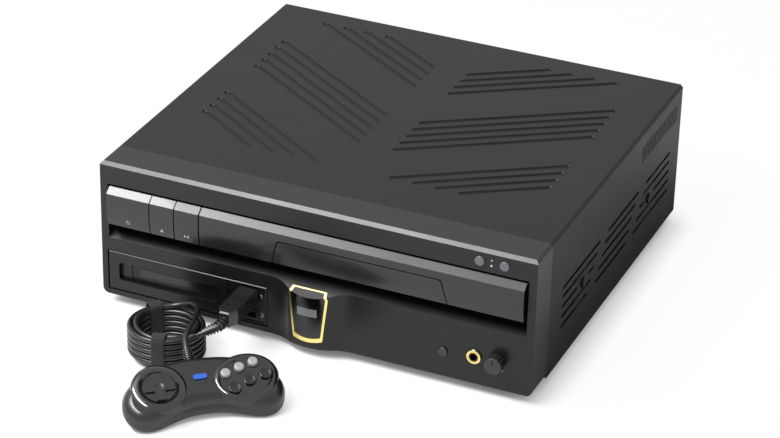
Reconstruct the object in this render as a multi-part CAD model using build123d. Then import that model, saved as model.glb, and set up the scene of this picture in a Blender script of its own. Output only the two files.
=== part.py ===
from build123d import *
from math import atan2, cos, degrees, hypot, pi, radians, sin, tan
import os

# Disc player with a wide drawer, a small drawer inside it, a slide-in game pack
# and a hand controller. Millimetres. X right, Y back, Z up from the floor, the
# origin on the floor under the middle of the player's body.

# ---------------------------------------------------------------- whole body
body_width = 420.0
body_depth = 380.0
body_top = 145.0
foot_height = 10.5
sheet = 1.2
slip = 0.3               # running gap between pieces that move
seat = 0.15              # gap between curved pieces that are fixed

half_width = body_width / 2
front_y = -body_depth / 2
rear_y = body_depth / 2

# ---------------------------------------------------------------- front bezel
bezel_depth = 35.0
bezel_wall = 3.0
bezel_bevel = 3.0
bezel_corner = 6.0
drawer_half = 202.5      # half width of the long recess for keys and drawer
drawer_low = 80.2        # foot of the drawer's way through the bezel
drawer_high = 124.0
ledge_lip = 69.3         # height of the sloping ledge at the front face
ledge_slope = 0.6
ledge_depth = 14.0
recess_depth = 18.0
bezel_rear = front_y + bezel_depth
recess_y = front_y + recess_depth

nose_half = 41.0
nose_low_reach = 9.0
nose_high_reach = 11.0

# ---------------------------------------------------------------- game pack
pack_left = -204.5
pack_right = -43.5
pack_low = 15.7
pack_high = 56.3
pack_gap = 1.0
pack_depth = 148.0
pack_face_depth = 7.0
slot_left = -193.0
slot_right = -94.0
slot_low = 27.3
slot_high = 45.0
slot_depth = 80.0
door_left = -182.0
port_x = -61.5
port_heights = (45.0, 25.0)
port_width = 16.9
port_height = 8.3

# ---------------------------------------------------------------- keys and drawers
key_edges = (-201.5, -158.0, -133.5, -108.8)
tray_left = -108.5
tray_right = 201.5
key_gap = 1.0
flap_gap = 0.9           # gap round the small drawer's front
front_foot = 85.6
front_crown = 121.5
front_chamfer = 116.5
tray_centre = 46.3
tray_floor = 87.6
tray_thick = 8.4
tray_tail = 178.0
disc_y = -25.0
disc_recess_r = 151.5
disc_recess = 3.0
small_disc_r = 101.0
cd_half = 74.5
cd_tail = 75.0
cd_thick = 4.4
cd_recess_r = 60.5
flap_low_half = 83.5
flap_high_half = 77.5
flap_top = 108.5
hatch_half = 28.0        # half width of the slot that the drive reaches through
tongue = 3.0
channel_tail = 128.0

# ---------------------------------------------------------------- drive
rail_web = 3.0
rail_lip = 6.0
deck_lift = 10.0
deck_top = 55.0
deck_thick = 3.0
deck_half = 62.0
rod_r = 2.5
rod_offset = 31.0
rod_height = 66.0
turntable_r = 17.0
turntable_top = 84.0
motor_r = 16.0
sled_half_width = 37.0
sled_length = 40.0
sled_home = 12.0         # middle of the sled when it waits at the hub
gear_module = 1.0
gear_teeth = 18
gear_x = 126.0
gear_y = -140.0

# ---------------------------------------------------------------- cover
cover_bevel = 2.6
groove_width = 6.4
groove_floor = 4.0       # width at the groove's foot
groove_sink = 1.2
groove_slope = 0.673
groove_pitch = 15.0
groove_inner = 19.0
groove_outer = 170.3
groove_front = -105.0
groove_back = 164.0
vent_height = 3.0
vent_rows = (85.0, 76.0, 66.0, 56.0, 46.0)
vent_middle = ((-8.0, 74.7), (-15.7, 66.7), (-22.0, 58.7), (-29.8, 51.6), (-36.6, 44.1))
vent_front_start = -124.0
vent_front_ends = (-28.8, -35.2, -43.0, -50.5, -58.0)
vent_back_starts = (94.6, 87.0, 79.6, 72.0, 64.6)
vent_back_end = 163.5
screw_ys = (-71.0, 104.5)
screw_z = 64.3
dish_r = 10.0
screw_r = 5.0
slit_pitch = 4.0
slit_width = 1.6

# ---------------------------------------------------------------- cord and controller
cord_d = 5.0
coil_x = -114.7
coil_y = -247.5
coil_outer = 32.5
coil_inner = 27.0
coil_pitch = 5.5
coil_turns = 6
pad_turn = 40.0
pad_tilt = 25.0
pad_x = -43.2
pad_y = -318.1
pad_z = 30.4

os.makedirs("parts", exist_ok=True)


# ---------------------------------------------------------------- helpers
def block(x0, x1, y0, y1, z0, z1):
    """A box between three pairs of faces."""
    middle = ((x0 + x1) / 2, (y0 + y1) / 2, (z0 + z1) / 2)
    return Pos(*middle) * Box(x1 - x0, y1 - y0, z1 - z0)


def rod(x, y, z, radius, length, direction="z"):
    """A cylinder that starts at a point and runs along +X, +Y or +Z."""
    turn = {"x": Rot(0, 90, 0), "y": Rot(-90, 0, 0), "z": Rot(0, 0, 0)}[direction]
    stand = (Align.CENTER, Align.CENTER, Align.MIN)
    return Pos(x, y, z) * turn * Cylinder(radius, length, align=stand)


def across(outline, x0, x1):
    """A solid with its outline in the YZ plane, drawn from x0 to x1."""
    return extrude(Plane.YZ.offset(x0) * outline, x1 - x0)


def frontal(outline, y0, y1):
    """A solid with its outline in the XZ plane, drawn from y0 to y1."""
    flat = Plane(origin=(0, y0, 0), x_dir=(1, 0, 0), z_dir=(0, -1, 0))
    return extrude(flat * outline, -(y1 - y0))


def upright(outline, z0, z1):
    """A solid with its outline in the XY plane, drawn from z0 to z1."""
    return extrude(Pos(0, 0, z0) * outline, z1 - z0)


def area(*points):
    return make_face(Polyline(*points, close=True))


def save(shape, name):
    export_step(shape, "parts/" + name + ".step")


def group(*shapes):
    solids = []
    for shape in shapes:
        solids.extend(shape.solids())
    return Compound(children=solids) if len(solids) > 1 else solids[0]


# ---------------------------------------------------------------- front bezel
def ledge_height(y):
    """The ledge climbs inward from its lip in the front face."""
    return ledge_lip + ledge_slope * (y - front_y)


def nose_plan(reach, half):
    """Plan of the bulge in the lower front: concave flanks and a round middle."""
    root = front_y + 2 * bezel_wall
    left = (-half, front_y)
    right = (half, front_y)
    shoulder = 0.49 * half
    shoulder_y = front_y - 0.6 * reach
    flank = Spline(left, (-shoulder, shoulder_y), tangents=((1, 0), (1, -0.75)))
    brow = ThreePointArc((-shoulder, shoulder_y), (0, front_y - reach), (shoulder, shoulder_y))
    fall = Spline((shoulder, shoulder_y), right, tangents=((1, 0.75), (1, 0)))
    rest = Polyline(right, (half, root), (-half, root), left)
    return make_face([flank, brow, fall, rest])


def nose(grow=0.0):
    """The bulge, a little wider at its ledge edge than at the foot."""
    low = Pos(0, 0, foot_height) * nose_plan(nose_low_reach + grow, nose_half + grow)
    high = Pos(0, 0, ledge_lip + grow) * nose_plan(nose_high_reach + grow, nose_half + grow)
    body = loft([low, high])
    back = front_y + ledge_depth
    reach = front_y - nose_high_reach - 5 * bezel_wall
    cap = area((reach, ledge_height(reach) + grow), (back, ledge_height(back) + grow),
               (back, body_top), (reach, body_top))
    return body - across(cap, -2 * nose_half, 2 * nose_half)


def bezel_outline():
    """Side view of the bezel's outer face."""
    return area((front_y, foot_height), (bezel_rear, foot_height), (bezel_rear, body_top),
                (front_y + bezel_bevel, body_top), (front_y, body_top - bezel_bevel))


def ledge_recess():
    """The long recess in which the keys and drawer fronts stand, over its ledge."""
    ledge_y = front_y + ledge_depth
    return area((front_y - 1, ledge_height(front_y - 1)), (ledge_y, ledge_height(ledge_y)),
                (recess_y, ledge_height(ledge_y)), (recess_y, drawer_high),
                (front_y - 1, drawer_high))


button_spots = ((half_width - 52.9, 133.5), (half_width - 30.0, 133.4))
button_r = 4.6
memory_spot = (half_width - 83.8, 35.5)
memory_r = 4.4
jack_spot = (half_width - 54.8, 37.6)
jack_ring_r = 7.5
jack_barrel_r = 5.5
jack_bore_r = 3.2
jack_length = 20.0
level_spot = (half_width - 33.3, 38.7)
level_r = 8.0
level_shaft_r = 3.0
lamp_spots = ((21.6 - half_width, 66.4), (half_width - 84.4, 53.6))
lamp_r = 1.3
plunger_r = 2.5
plunger_z = 104.0
board_y = bezel_rear - 10.0


def key_middles():
    return [(a + b) / 2 for a, b in zip(key_edges, key_edges[1:])]


def make_bezel():
    body = across(bezel_outline(), -half_width, half_width)
    corners = body.edges().filter_by(Axis.Y).filter_by_position(Axis.Z, foot_height, foot_height)
    body = fillet(corners, bezel_corner)
    crown = body.edges().filter_by(Axis.Y).filter_by_position(Axis.Z, body_top, body_top)
    body = chamfer(crown, cover_bevel)
    inner = half_width - bezel_wall
    shelf = ledge_height(front_y + ledge_depth)
    low_room = area((front_y + bezel_wall, foot_height + bezel_wall),
                    (bezel_rear + 1, foot_height + bezel_wall),
                    (bezel_rear + 1, shelf - bezel_wall),
                    (front_y + ledge_depth, shelf - bezel_wall),
                    (front_y + bezel_wall, ledge_height(front_y + bezel_wall) - bezel_wall))
    body -= across(low_room, -inner, inner)
    high = drawer_high + bezel_wall
    body -= block(-inner, inner, front_y + bezel_wall, bezel_rear + 1, high, body_top - bezel_wall)
    body -= block(-inner, inner, recess_y + bezel_wall, bezel_rear + 1, shelf - 1, high + 1)
    body += block(-inner - 1, inner + 1, recess_y + bezel_wall - 1, recess_y + 3 * bezel_wall,
                  shelf - bezel_wall, shelf)
    body += nose()
    body -= across(ledge_recess(), -drawer_half, drawer_half)
    # the way through for the wide drawer, and the bay for the game pack
    body -= block(key_edges[-1] - 0.5, drawer_half, recess_y - 1, bezel_rear + 1,
                  drawer_low, drawer_high)
    body -= block(pack_left, pack_right, front_y - 1, front_y + bezel_wall + 1,
                  pack_low, pack_high)
    for x in key_middles():
        body -= rod(x, recess_y - 1, plunger_z, plunger_r + slip, bezel_wall + 2, "y")
    holes = [(*spot, button_r + slip) for spot in button_spots]
    holes += [(*memory_spot, memory_r + slip), (*jack_spot, jack_barrel_r + seat)]
    holes += [(*level_spot, level_shaft_r + slip)]
    holes += [(*spot, lamp_r + seat) for spot in lamp_spots]
    for x, z, radius in holes:
        body -= rod(x, front_y - 1, z, radius, bezel_wall + 2, "y")
    return body


def shield_outline(shrink=0.0, foot=0.0):
    """Front view of the shield on the nose, its foot curved."""
    edge_z = ledge_height(front_y - nose_high_reach)
    top_z = 68.6 - 0.5 * shrink
    top, edge, low = 16.3 - shrink, 19.0 - shrink, 14.25 - 0.8 * shrink
    low_z = 19.5 + foot
    sides = Polyline((-low, low_z), (-edge, edge_z), (-top, top_z), (top, top_z),
                     (edge, edge_z), (low, low_z))
    sole = ThreePointArc((low, low_z), (0, low_z - 2.2), (-low, low_z))
    return make_face([sides, sole])


shield_skin = 1.2
shield_rim = 2.2
shield_foot = 4.2


def make_shield(bezel):
    """Rim, lens and plate follow the bulge like a skin laid over it."""
    shallow = front_y - 3 * nose_high_reach
    reach = front_y - 0.35 * nose_high_reach
    window = frontal(shield_outline(shield_rim, shield_foot), shallow, reach)
    window_gap = frontal(shield_outline(shield_rim - seat, shield_foot - seat), shallow, reach)
    blank = frontal(shield_outline(), shallow, reach)
    core = nose()
    rim = (((nose(shield_skin) & blank) - core) - window_gap) - bezel
    lens = ((nose(0.6 * shield_skin) & window) - nose(seat)) - bezel
    plate_mark = block(-9.5, 9.5, shallow, reach, 44.0, 52.0)
    plate = (nose(shield_skin) & plate_mark) - nose(0.6 * shield_skin)
    return rim, lens, plate


bezel = make_bezel()
save(bezel, "front_bezel")
shield_frame, shield_lens, shield_plate = make_shield(bezel)
save(shield_frame, "shield_frame")
save(shield_lens, "shield_lens")
save(shield_plate, "shield_plate")


# ---------------------------------------------------------------- drawer fronts and keys
def front_profile(grow=0.0, back=12.0):
    """Side view of the drawer fronts: chamfered crown, gently convex face."""
    nose_y = front_y - 5.5 + grow
    crown = front_crown - grow
    foot = front_foot + grow
    rim = front_chamfer - 0.4 * grow
    start = Polyline((nose_y + 1.6, foot), (front_y + back, foot), (front_y + back, crown),
                     (front_y + 1.0 + 0.6 * grow, crown), (nose_y, rim))
    face = ThreePointArc((nose_y, rim), (nose_y - 0.4, (rim + foot) / 2), (nose_y + 1.6, foot))
    return make_face([start, face])


key_travel = 1.2
key_back = 9.0


def make_key(left, right):
    """A wide key with its plunger, which reaches the switch behind the bezel."""
    cap = across(front_profile(back=key_back), left + key_gap / 2, right - key_gap / 2)
    cap -= across(front_profile(2.0, back=key_back + 3), left + 2.0, right - 2.0)
    middle = (left + right) / 2
    stem_start = front_y - 4.0
    stem = rod(middle, stem_start, plunger_z, plunger_r, board_y - 3.5 - stem_start - key_travel, "y")
    return cap + stem


for name, left, right in zip(("power_key", "release_key", "play_key"), key_edges, key_edges[1:]):
    save(make_key(left, right), name)


def flap_outline(grow=0.0):
    """Front view of the small drawer's front, a wide trapezoid with round top corners."""
    low, high = flap_low_half + grow, flap_high_half + grow
    shape = area((tray_centre - low, front_foot - 1), (tray_centre + low, front_foot - 1),
                 (tray_centre + high, flap_top + grow), (tray_centre - high, flap_top + grow))
    tops = shape.vertices().group_by(Axis.Y)[-1]
    return fillet(tops, 4.0)


def make_drawer_front():
    """The wide drawer's front, a hollow moulding with an arch for the small drawer."""
    shell = across(front_profile(), tray_left + key_gap / 2, tray_right - key_gap)
    shell -= across(front_profile(2.5, back=14), tray_left + 3, tray_right - 3)
    deep = front_y + 20
    rim = frontal(flap_outline(2.5), front_y - 3, front_y + 12)
    shell += rim & across(front_profile(), tray_left + 1, tray_right - 1)
    shell -= frontal(flap_outline(flap_gap), front_y - 10, deep)
    return shell


cd_front_back = 8.0


def make_cd_front():
    shell = across(front_profile(back=cd_front_back), tray_centre - 90, tray_centre + 90)
    shell &= frontal(flap_outline(), front_y - 10, front_y + 20)
    return shell


drawer_front = make_drawer_front()
save(drawer_front, "wide_drawer_front")
save(make_cd_front(), "small_drawer_front")


# ---------------------------------------------------------------- the drawers
tray_edge_left = tray_left + 0.8
tray_edge_right = tray_right - 1.2
tray_front_y = front_y + 12.0
cd_left = tray_centre - cd_half
cd_right = tray_centre + cd_half
tray_travel = 310.0
rack_x = gear_x + gear_module * gear_teeth / 2
tooth_depth = 2.0 * gear_module
gear_low = 80.6
gear_thick = 5.4


def rack_outline():
    """Plan of the toothed strip under the wide drawer; teeth point to the gear."""
    pitch = pi * gear_module
    first = gear_y - 4 * pitch
    count = int((tray_tail - first) / pitch) - 1
    points = [(rack_x + 4.0, first), (rack_x + gear_module, first)]
    for i in range(count):
        y = first + i * pitch
        points += [(rack_x + gear_module, y + 0.30 * pitch), (rack_x - 0.8 * gear_module, y + 0.42 * pitch),
                   (rack_x - 0.8 * gear_module, y + 0.63 * pitch), (rack_x + gear_module, y + 0.75 * pitch)]
    end = first + count * pitch
    points += [(rack_x + gear_module, end), (rack_x + 4.0, end)]
    return area(*points)


def make_wide_tray():
    """Wide drawer: two wings round the small drawer's channel, joined at the back."""
    top = tray_floor + tray_thick
    plate = block(tray_edge_left, tray_edge_right, tray_front_y, tray_tail, tray_floor, top)
    plate -= rod(tray_centre, disc_y, top - disc_recess, disc_recess_r, 10)
    plate -= block(cd_left - 2 * slip, cd_right + 2 * slip, tray_front_y - 1, channel_tail,
                   tray_floor - 1, top + 1)
    groove_z = tray_floor + 1.2
    plate -= block(cd_left - tongue - 2 * slip, cd_right + tongue + 2 * slip, tray_front_y - 1,
                   channel_tail, groove_z - slip, groove_z + 2.0 + slip)
    finger = rod(tray_centre - disc_recess_r + 8, disc_y, tray_floor + 3.0, 16.0, 10)
    finger += rod(tray_centre + disc_recess_r - 8, disc_y, tray_floor + 3.0, 16.0, 10)
    plate -= finger
    rack = upright(rack_outline(), gear_low + 0.4, tray_floor)
    # upstands that carry the drawer front
    posts = [block(x - 4, x + 4, tray_front_y - 5.5, tray_front_y + 4, tray_floor + 0.8, top + 10)
             for x in (tray_edge_left + 8, tray_edge_right - 8)]
    for post in posts:
        plate += post
    return plate + rack


def make_cd_tray():
    """Small drawer: disc recess and a slot, open at the back, for drive and pickup."""
    top = tray_floor + cd_thick
    start = front_y + cd_front_back
    plate = block(cd_left, cd_right, start, cd_tail, tray_floor, top)
    groove_z = tray_floor + 1.2
    plate += block(cd_left - tongue, cd_right + tongue, tray_front_y + 1, cd_tail,
                   groove_z, groove_z + 2.0)
    plate -= rod(tray_centre, disc_y, top - 2.0, cd_recess_r, 10)
    plate -= rod(tray_centre, disc_y, top - 2.8, 41.0, 10)
    hub = rod(tray_centre, disc_y, tray_floor - 1, turntable_r + 3, 20)
    slot = block(tray_centre - hatch_half, tray_centre + hatch_half, disc_y, cd_tail + 1,
                 tray_floor - 1, top + 10)
    return plate - hub - slot


save(make_wide_tray(), "wide_drawer")
save(make_cd_tray(), "small_drawer")


# ---------------------------------------------------------------- sheet metal body
side_inner = half_width - sheet
pan_half = side_inner - slip
pan_front = bezel_rear + seat
pan_wall = 14.0
post_top = 18.0


def mirrored(shape):
    return [shape, mirror(shape, about=Plane.YZ)]


def make_pan():
    """Bottom pan with low side walls, a tall tab at each cover screw and board posts."""
    floor_top = foot_height + sheet
    pan = block(-pan_half, pan_half, pan_front, rear_y - sheet, foot_height, floor_top)
    for side in mirrored(block(pan_half - sheet, pan_half, pan_front, rear_y - sheet,
                               foot_height, foot_height + pan_wall)):
        pan += side
    for y in screw_ys:
        tab = block(pan_half - sheet, pan_half, y - 14, y + 14, foot_height, screw_z + 14)
        tab -= rod(pan_half - 5, y, screw_z, 2.2, 10, "x")
        for copy in mirrored(tab):
            pan += copy
    for x, y in board_posts:
        pan += rod(x, y, floor_top - 0.5, 3.5, post_top - floor_top + 0.5)
    for i in range(9):
        pan -= upright(Pos(20 + 16 * i, 60) * SlotOverall(60, 4, rotation=90), 0, floor_top + 1)
    return pan


def cover_section(inset):
    """Front view of the cover: two sides, a bevel and the flat top."""
    outer = half_width - inset
    top = body_top - inset
    bevel = cover_bevel - 0.41 * inset
    return [(-outer, top - bevel), (-outer + bevel, top), (outer - bevel, top), (outer, top - bevel)]


def groove(x0, y0, x1, y1, width, sink):
    """One pressed groove with round ends on the top, given by its end points."""
    run = hypot(x1 - x0, y1 - y0)
    angle = degrees(atan2(y1 - y0, x1 - x0))
    spot = Pos((x0 + x1) / 2, (y0 + y1) / 2) * Rot(0, 0, angle)
    if sink > groove_sink:
        return upright(spot * SlotOverall(run + width, width), body_top - sink, body_top)
    foot = Pos(0, 0, body_top - sink) * spot * SlotOverall(run + groove_floor, groove_floor)
    wide = 2 * width - groove_floor
    mouth = Pos(0, 0, body_top + sink) * spot * SlotOverall(run + wide, wide)
    return loft([foot, mouth], ruled=True)


def groove_lines():
    """Ends of the grooves on the right half: three groups of slanting lines."""
    span = groove_outer - groove_inner
    lines = []
    for i in range(5):
        y = 6.3 - groove_pitch * i
        lines.append((groove_inner, y, groove_outer, y + groove_slope * span))
    for i in range(4):
        y = 119.7 - groove_pitch * i
        lines.append((groove_inner, y, groove_inner + (groove_back - y) / groove_slope, groove_back))
    for i in range(4):
        y = -15.9 - groove_pitch * i
        lines.append((groove_outer - (y - groove_front) / groove_slope, groove_front, groove_outer, y))
    return lines


def vent_spans():
    """Start and end along Y and the height of each side slot, round the screw dishes."""
    spans = []
    gap = dish_r + 4.0
    rows = zip(vent_rows, vent_middle, vent_front_ends, vent_back_starts)
    for z, (start, end), front_end, back_start in rows:
        spans.append((start, end, z))
        for y0, y1, screw_y in ((vent_front_start, front_end, screw_ys[0]),
                                (back_start, vent_back_end, screw_ys[1])):
            if abs(z - screw_z) < dish_r - 3:
                spans += [(y0, screw_y - gap, z), (screw_y + gap, y1, z)]
            else:
                spans.append((y0, y1, z))
    return [span for span in spans if span[1] - span[0] > 2 * vent_height]


def side_slot(y0, y1, z, height):
    """A slot with round ends through the right side of the cover."""
    flat = Plane(origin=(side_inner - 3, (y0 + y1) / 2, z), x_dir=(0, 1, 0), z_dir=(1, 0, 0))
    return extrude(flat * SlotOverall(y1 - y0, height), sheet + 6)


def make_cover():
    """Folded cover with pressed grooves on top and vents in both sides."""
    front = bezel_rear + seat
    outer = cover_section(0)
    inner = cover_section(sheet)
    ring = [(-half_width, foot_height), *outer, (half_width, foot_height),
            (side_inner, foot_height), *reversed(inner), (-side_inner, foot_height)]
    shell = frontal(area(*ring), front, rear_y)
    for line in groove_lines():
        bead = groove(*line, groove_width + sheet, 2 * groove_sink)
        bead &= block(0, half_width, front_y, rear_y, 0, body_top - 0.5)
        cut = groove(*line, groove_width, groove_sink)
        shell += mirrored(bead)
        shell -= mirrored(cut)
    slots = [side_slot(y0, y1, z, vent_height) for y0, y1, z in vent_spans()]
    slit_count = 25
    slots += [block(side_inner - 2, half_width + 2, 78 + slit_pitch * i,
                    78 + slit_pitch * i + slit_width, 113, 130) for i in range(slit_count)]
    for y in screw_ys:
        slots.append(rod(side_inner - 2, y, screw_z, 2.4, 6, "x"))
    for slot in slots:
        shell -= mirrored(slot)
    return shell


main_right = pan_half - 10.5         # right end of the main board
power_left = 6.5 - pan_half          # left end of the power board
board_posts = ((-20.0, -60.0), (main_right - 8, -60.0), (main_right - 8, 150.0), (-20.0, 150.0),
               (power_left + 7, 0.0), (-75.0, 0.0), (power_left + 7, 95.0), (-75.0, 95.0))
save(make_pan(), "bottom_pan")
save(make_cover(), "top_cover")


def make_screw(y):
    """Pan-head screw through the cover's side into the pan's tab."""
    head = rod(half_width, y, screw_z, screw_r, 2.2, "x")
    rim = head.edges().filter_by(GeomType.CIRCLE).sort_by(Axis.X)[-1]
    head = fillet(rim, 1.2)
    shank = rod(pan_half - 5, y, screw_z, 1.9, half_width - pan_half + 5.1, "x")
    return head + shank


screws = [copy for y in screw_ys for copy in mirrored(make_screw(y))]
save(group(*screws), "side_screws")

foot_r = 21.0
foot_spots = ((half_width - 45.0, -140.0), (half_width - 45.0, 145.0))


def make_foot(x, y):
    foot = rod(x, y, 0, foot_r, foot_height)
    rim = foot.edges().filter_by(GeomType.CIRCLE).sort_by(Axis.Z)[0]
    foot = fillet(rim, 1.5)
    foot -= rod(x, y, -1, 6.0, 5.0)
    return foot


save(group(*[copy for x, y in foot_spots for copy in mirrored(make_foot(x, y))]), "feet")

# ---------------------------------------------------------------- rear
rear_inner = rear_y - sheet
socket_columns = (84.0, 102.0, 120.0)
socket_rows = (38.0, 55.0)
socket_r = 4.2
inlet_x = 50.0 - half_width
inlet_z = 38.0
inlet_width = 27.0
inlet_height = 19.0
inlet_room = 14.0


def make_rear_panel():
    panel = block(-side_inner + slip, side_inner - slip, rear_inner, rear_y,
                  foot_height + seat, body_top - sheet - 2 * groove_sink)
    x0, x1 = socket_columns[0] - 10, socket_columns[-1] + 10
    panel -= block(x0, x1, rear_inner - 1, rear_y + 1, socket_rows[0] - 10, socket_rows[-1] + 10)
    panel -= block(inlet_x - inlet_width / 2, inlet_x + inlet_width / 2, rear_inner - 1, rear_y + 1,
                   inlet_z - inlet_height / 2, inlet_z + inlet_height / 2)
    for i in range(12):
        for x in (-30.0, -100.0):
            slot = frontal(Pos(x, 70 + 5.5 * i) * SlotOverall(52, 2.5), rear_inner - 1, rear_y + 1)
            panel -= slot
    return panel


def make_sockets():
    """Two rows of line sockets in one moulded block."""
    x0, x1 = socket_columns[0] - 10 + seat, socket_columns[-1] + 10 - seat
    z0, z1 = socket_rows[0] - 10 + seat, socket_rows[-1] + 10 - seat
    body = block(x0, x1, rear_inner - 8, rear_y + 0.8, z0, z1)
    for x in socket_columns:
        for z in socket_rows:
            body += rod(x, rear_y, z, socket_r, 9.5, "y")
            body -= rod(x, rear_y - 6, z, 1.6, 20, "y")
    return body


def make_inlet():
    """Mains inlet: a moulded well with two pins."""
    half_w, half_h = inlet_width / 2 - seat, inlet_height / 2 - seat
    body = block(inlet_x - half_w, inlet_x + half_w, rear_inner - 16, rear_y, inlet_z - half_h,
                 inlet_z + half_h)
    body += block(inlet_x - half_w - 3, inlet_x + half_w + 3, rear_y, rear_y + 1.6,
                  inlet_z - half_h - 3, inlet_z + half_h + 3)
    well = frontal(Pos(inlet_x, inlet_z) * SlotOverall(20, 12), rear_y - inlet_room, rear_y + 3)
    body -= well
    for x in (inlet_x - 4.3, inlet_x + 4.3):
        body += rod(x, rear_y - inlet_room - 0.5, inlet_z, 1.2, 10, "y")
    return body


save(make_rear_panel(), "rear_panel")
save(make_sockets(), "rear_sockets")
save(make_inlet(), "mains_inlet")

# ---------------------------------------------------------------- boards
board_thick = 1.6


def make_main_board():
    """Signal board under the drive, with its larger packages."""
    board = block(-28, main_right, -68, 158, post_top, post_top + board_thick)
    board -= block(-30, 0, -70, -40, post_top - 1, post_top + 3)
    for x, y in board_posts[:4]:
        board -= rod(x, y, post_top - 1, 1.6, 4)
    on = post_top + board_thick
    for x, y, w, d in ((20, 20, 24, 24), (70, 30, 18, 26), (120, 0, 28, 28), (150, 90, 20, 20)):
        board += block(x, x + w, y, y + d, on - 0.2, on + 3)
    board += block(60, 150, 132, 150, on - 0.2, on + 9)
    return board


def make_power_board():
    board = block(power_left, -68, -6, 101, post_top, post_top + board_thick)
    on = post_top + board_thick
    for x, y, r, h in ((-180, 20, 9, 30), (-155, 20, 9, 30), (-120, 20, 6, 18), (-95, 60, 6, 18)):
        board += rod(x, y, on - 0.2, r, h)
    board += block(-190, -110, 70, 74, on - 0.2, on + 34)
    return board


def make_transformer():
    """Laminated core with its winding between two end cheeks, on the pan."""
    base = foot_height + sheet
    core = block(-130, -70, 118, 158, base, base + 44)
    windows = block(-120, -110, 110, 176, base + 10, base + 34)
    windows += block(-90, -80, 110, 176, base + 10, base + 34)
    winding = block(-119.5, -80.5, 112, 163, base + 10.5, base + 33.5)
    winding = fillet(winding.edges().filter_by(Axis.Y), 4)
    return core - windows + winding


save(make_main_board(), "main_board")
save(make_power_board(), "power_board")
save(make_transformer(), "power_transformer")


def make_front_boards():
    """Small boards behind the bezel, each with the switches that its buttons press."""
    y1 = board_y
    keys = block(key_edges[0] + 2, key_edges[-1] - 4, y1, y1 + board_thick, 86, 120)
    for x in key_middles():
        keys += block(x - 3, x + 3, y1 - 3.2, y1 + 0.2, plunger_z - 3, plunger_z + 3)
    top = block(button_spots[0][0] - 9, button_spots[1][0] + 10, front_y + 13, front_y + 13 + board_thick,
                drawer_high + bezel_wall + slip, body_top - bezel_wall - slip)
    for x, z in button_spots:
        top += block(x - 3, x + 3, front_y + 9.8, front_y + 13.2, z - 3, z + 3)
    low = block(memory_spot[0] - 8, half_width - 14, front_y + 22, front_y + 22 + board_thick, 24, 58)
    x, z = memory_spot
    low += block(x - 3, x + 3, front_y + 18, front_y + 22.2, z - 3, z + 3)
    x, z = level_spot
    pot = block(x - 8, x + 8, front_y + 12, front_y + 22.2, z - 8, z + 8)
    low += pot - rod(x, front_y + 5, z, level_shaft_r + slip, 14, "y")
    return group(keys, top, low)


save(make_front_boards(), "front_boards")


def make_button(x, z, radius, reach, depth):
    """Round push button: a domed cap with a flange that keeps it in its hole."""
    cap = rod(x, front_y - reach, z, radius, depth + reach, "y")
    cap = fillet(cap.edges().filter_by(GeomType.CIRCLE).sort_by(Axis.Y)[0], 1.0)
    cap += rod(x, front_y + bezel_wall + key_travel + slip, z, radius + 1.2, 1.5, "y")
    return cap


for name, (x, z) in zip(("wide_drawer_button", "small_drawer_button"), button_spots):
    save(make_button(x, z, button_r, 1.8, 9.8 - key_travel - slip), name)
save(make_button(*memory_spot, memory_r, 1.8, 18 - key_travel - slip), "memory_button")


def make_level_knob():
    """Turning knob with flutes, a pointer groove and its shaft."""
    x, z = level_spot
    knob = rod(x, front_y - 11, z, level_r, 10.4, "y")
    knob = fillet(knob.edges().filter_by(GeomType.CIRCLE).sort_by(Axis.Y)[0], 1.0)
    for i in range(12):
        turn = 2 * pi * (i + 0.5) / 12
        knob -= rod(x + (level_r + 0.6) * sin(turn), front_y - 9.5, z + (level_r + 0.6) * cos(turn), 1.2, 12, "y")
    knob -= block(x - 0.6, x + 0.6, front_y - 12, front_y - 10.3, z + 2, z + level_r)
    knob += rod(x, front_y - 1, z, level_shaft_r, 18, "y")
    return knob


save(make_level_knob(), "level_knob")


def make_jack():
    x, z = jack_spot
    body = rod(x, front_y - 1.6, z, jack_ring_r, 1.6, "y")
    body = chamfer(body.edges().filter_by(GeomType.CIRCLE).sort_by(Axis.Y)[0], 0.8)
    body += rod(x, front_y - 0.5, z, jack_barrel_r, jack_length + 2.0, "y")
    body -= rod(x, front_y - 3, z, jack_bore_r, jack_length + 1.4, "y")
    groove_ring = rod(x, front_y - 2, z, jack_barrel_r + 0.3, 0.8, "y")
    groove_ring -= rod(x, front_y - 3, z, jack_barrel_r - 0.3, 4, "y")
    return body - groove_ring


save(make_jack(), "phones_jack")
lamps = [rod(x, front_y - 0.4, z, lamp_r, 5.0, "y") for x, z in lamp_spots]
save(group(*lamps), "indicator_lamps")

# ---------------------------------------------------------------- drawer mechanism
cross_low = 66.0
cross_high = 80.0
cross_deep = 15.0
front_cross_y = -150.0
rear_cross_y = 164.0
pan_floor = foot_height + sheet
rail_front = recess_y + bezel_wall + slip
rail_rear = rear_inner - 2.0
left_web = tray_edge_left - slip
right_web = tray_edge_right + slip
rail_low = tray_floor - slip - 3.3
rail_high = tray_floor + tray_thick + 0.4 + 2.6
pin_r = 3.0
pin_x = 50.0
cage_wall = 1.2
cage_left = pack_left - 0.5
cage_right = pack_right + 0.5
cage_roof = pack_high + 0.5
cage_floor = pack_low - 0.5
pack_rear = front_y + pack_depth


def rail_section(edge, inward):
    """A C-shaped guide that wraps one edge of the wide drawer."""
    web = edge - inward * rail_web
    lip = edge + inward * rail_lip
    low, high = tray_floor - slip, tray_floor + tray_thick + 0.4
    return area((web, rail_low), (lip, rail_low), (lip, low), (edge, low), (edge, high),
                (lip, high), (lip, rail_high), (web, rail_high))


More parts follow.
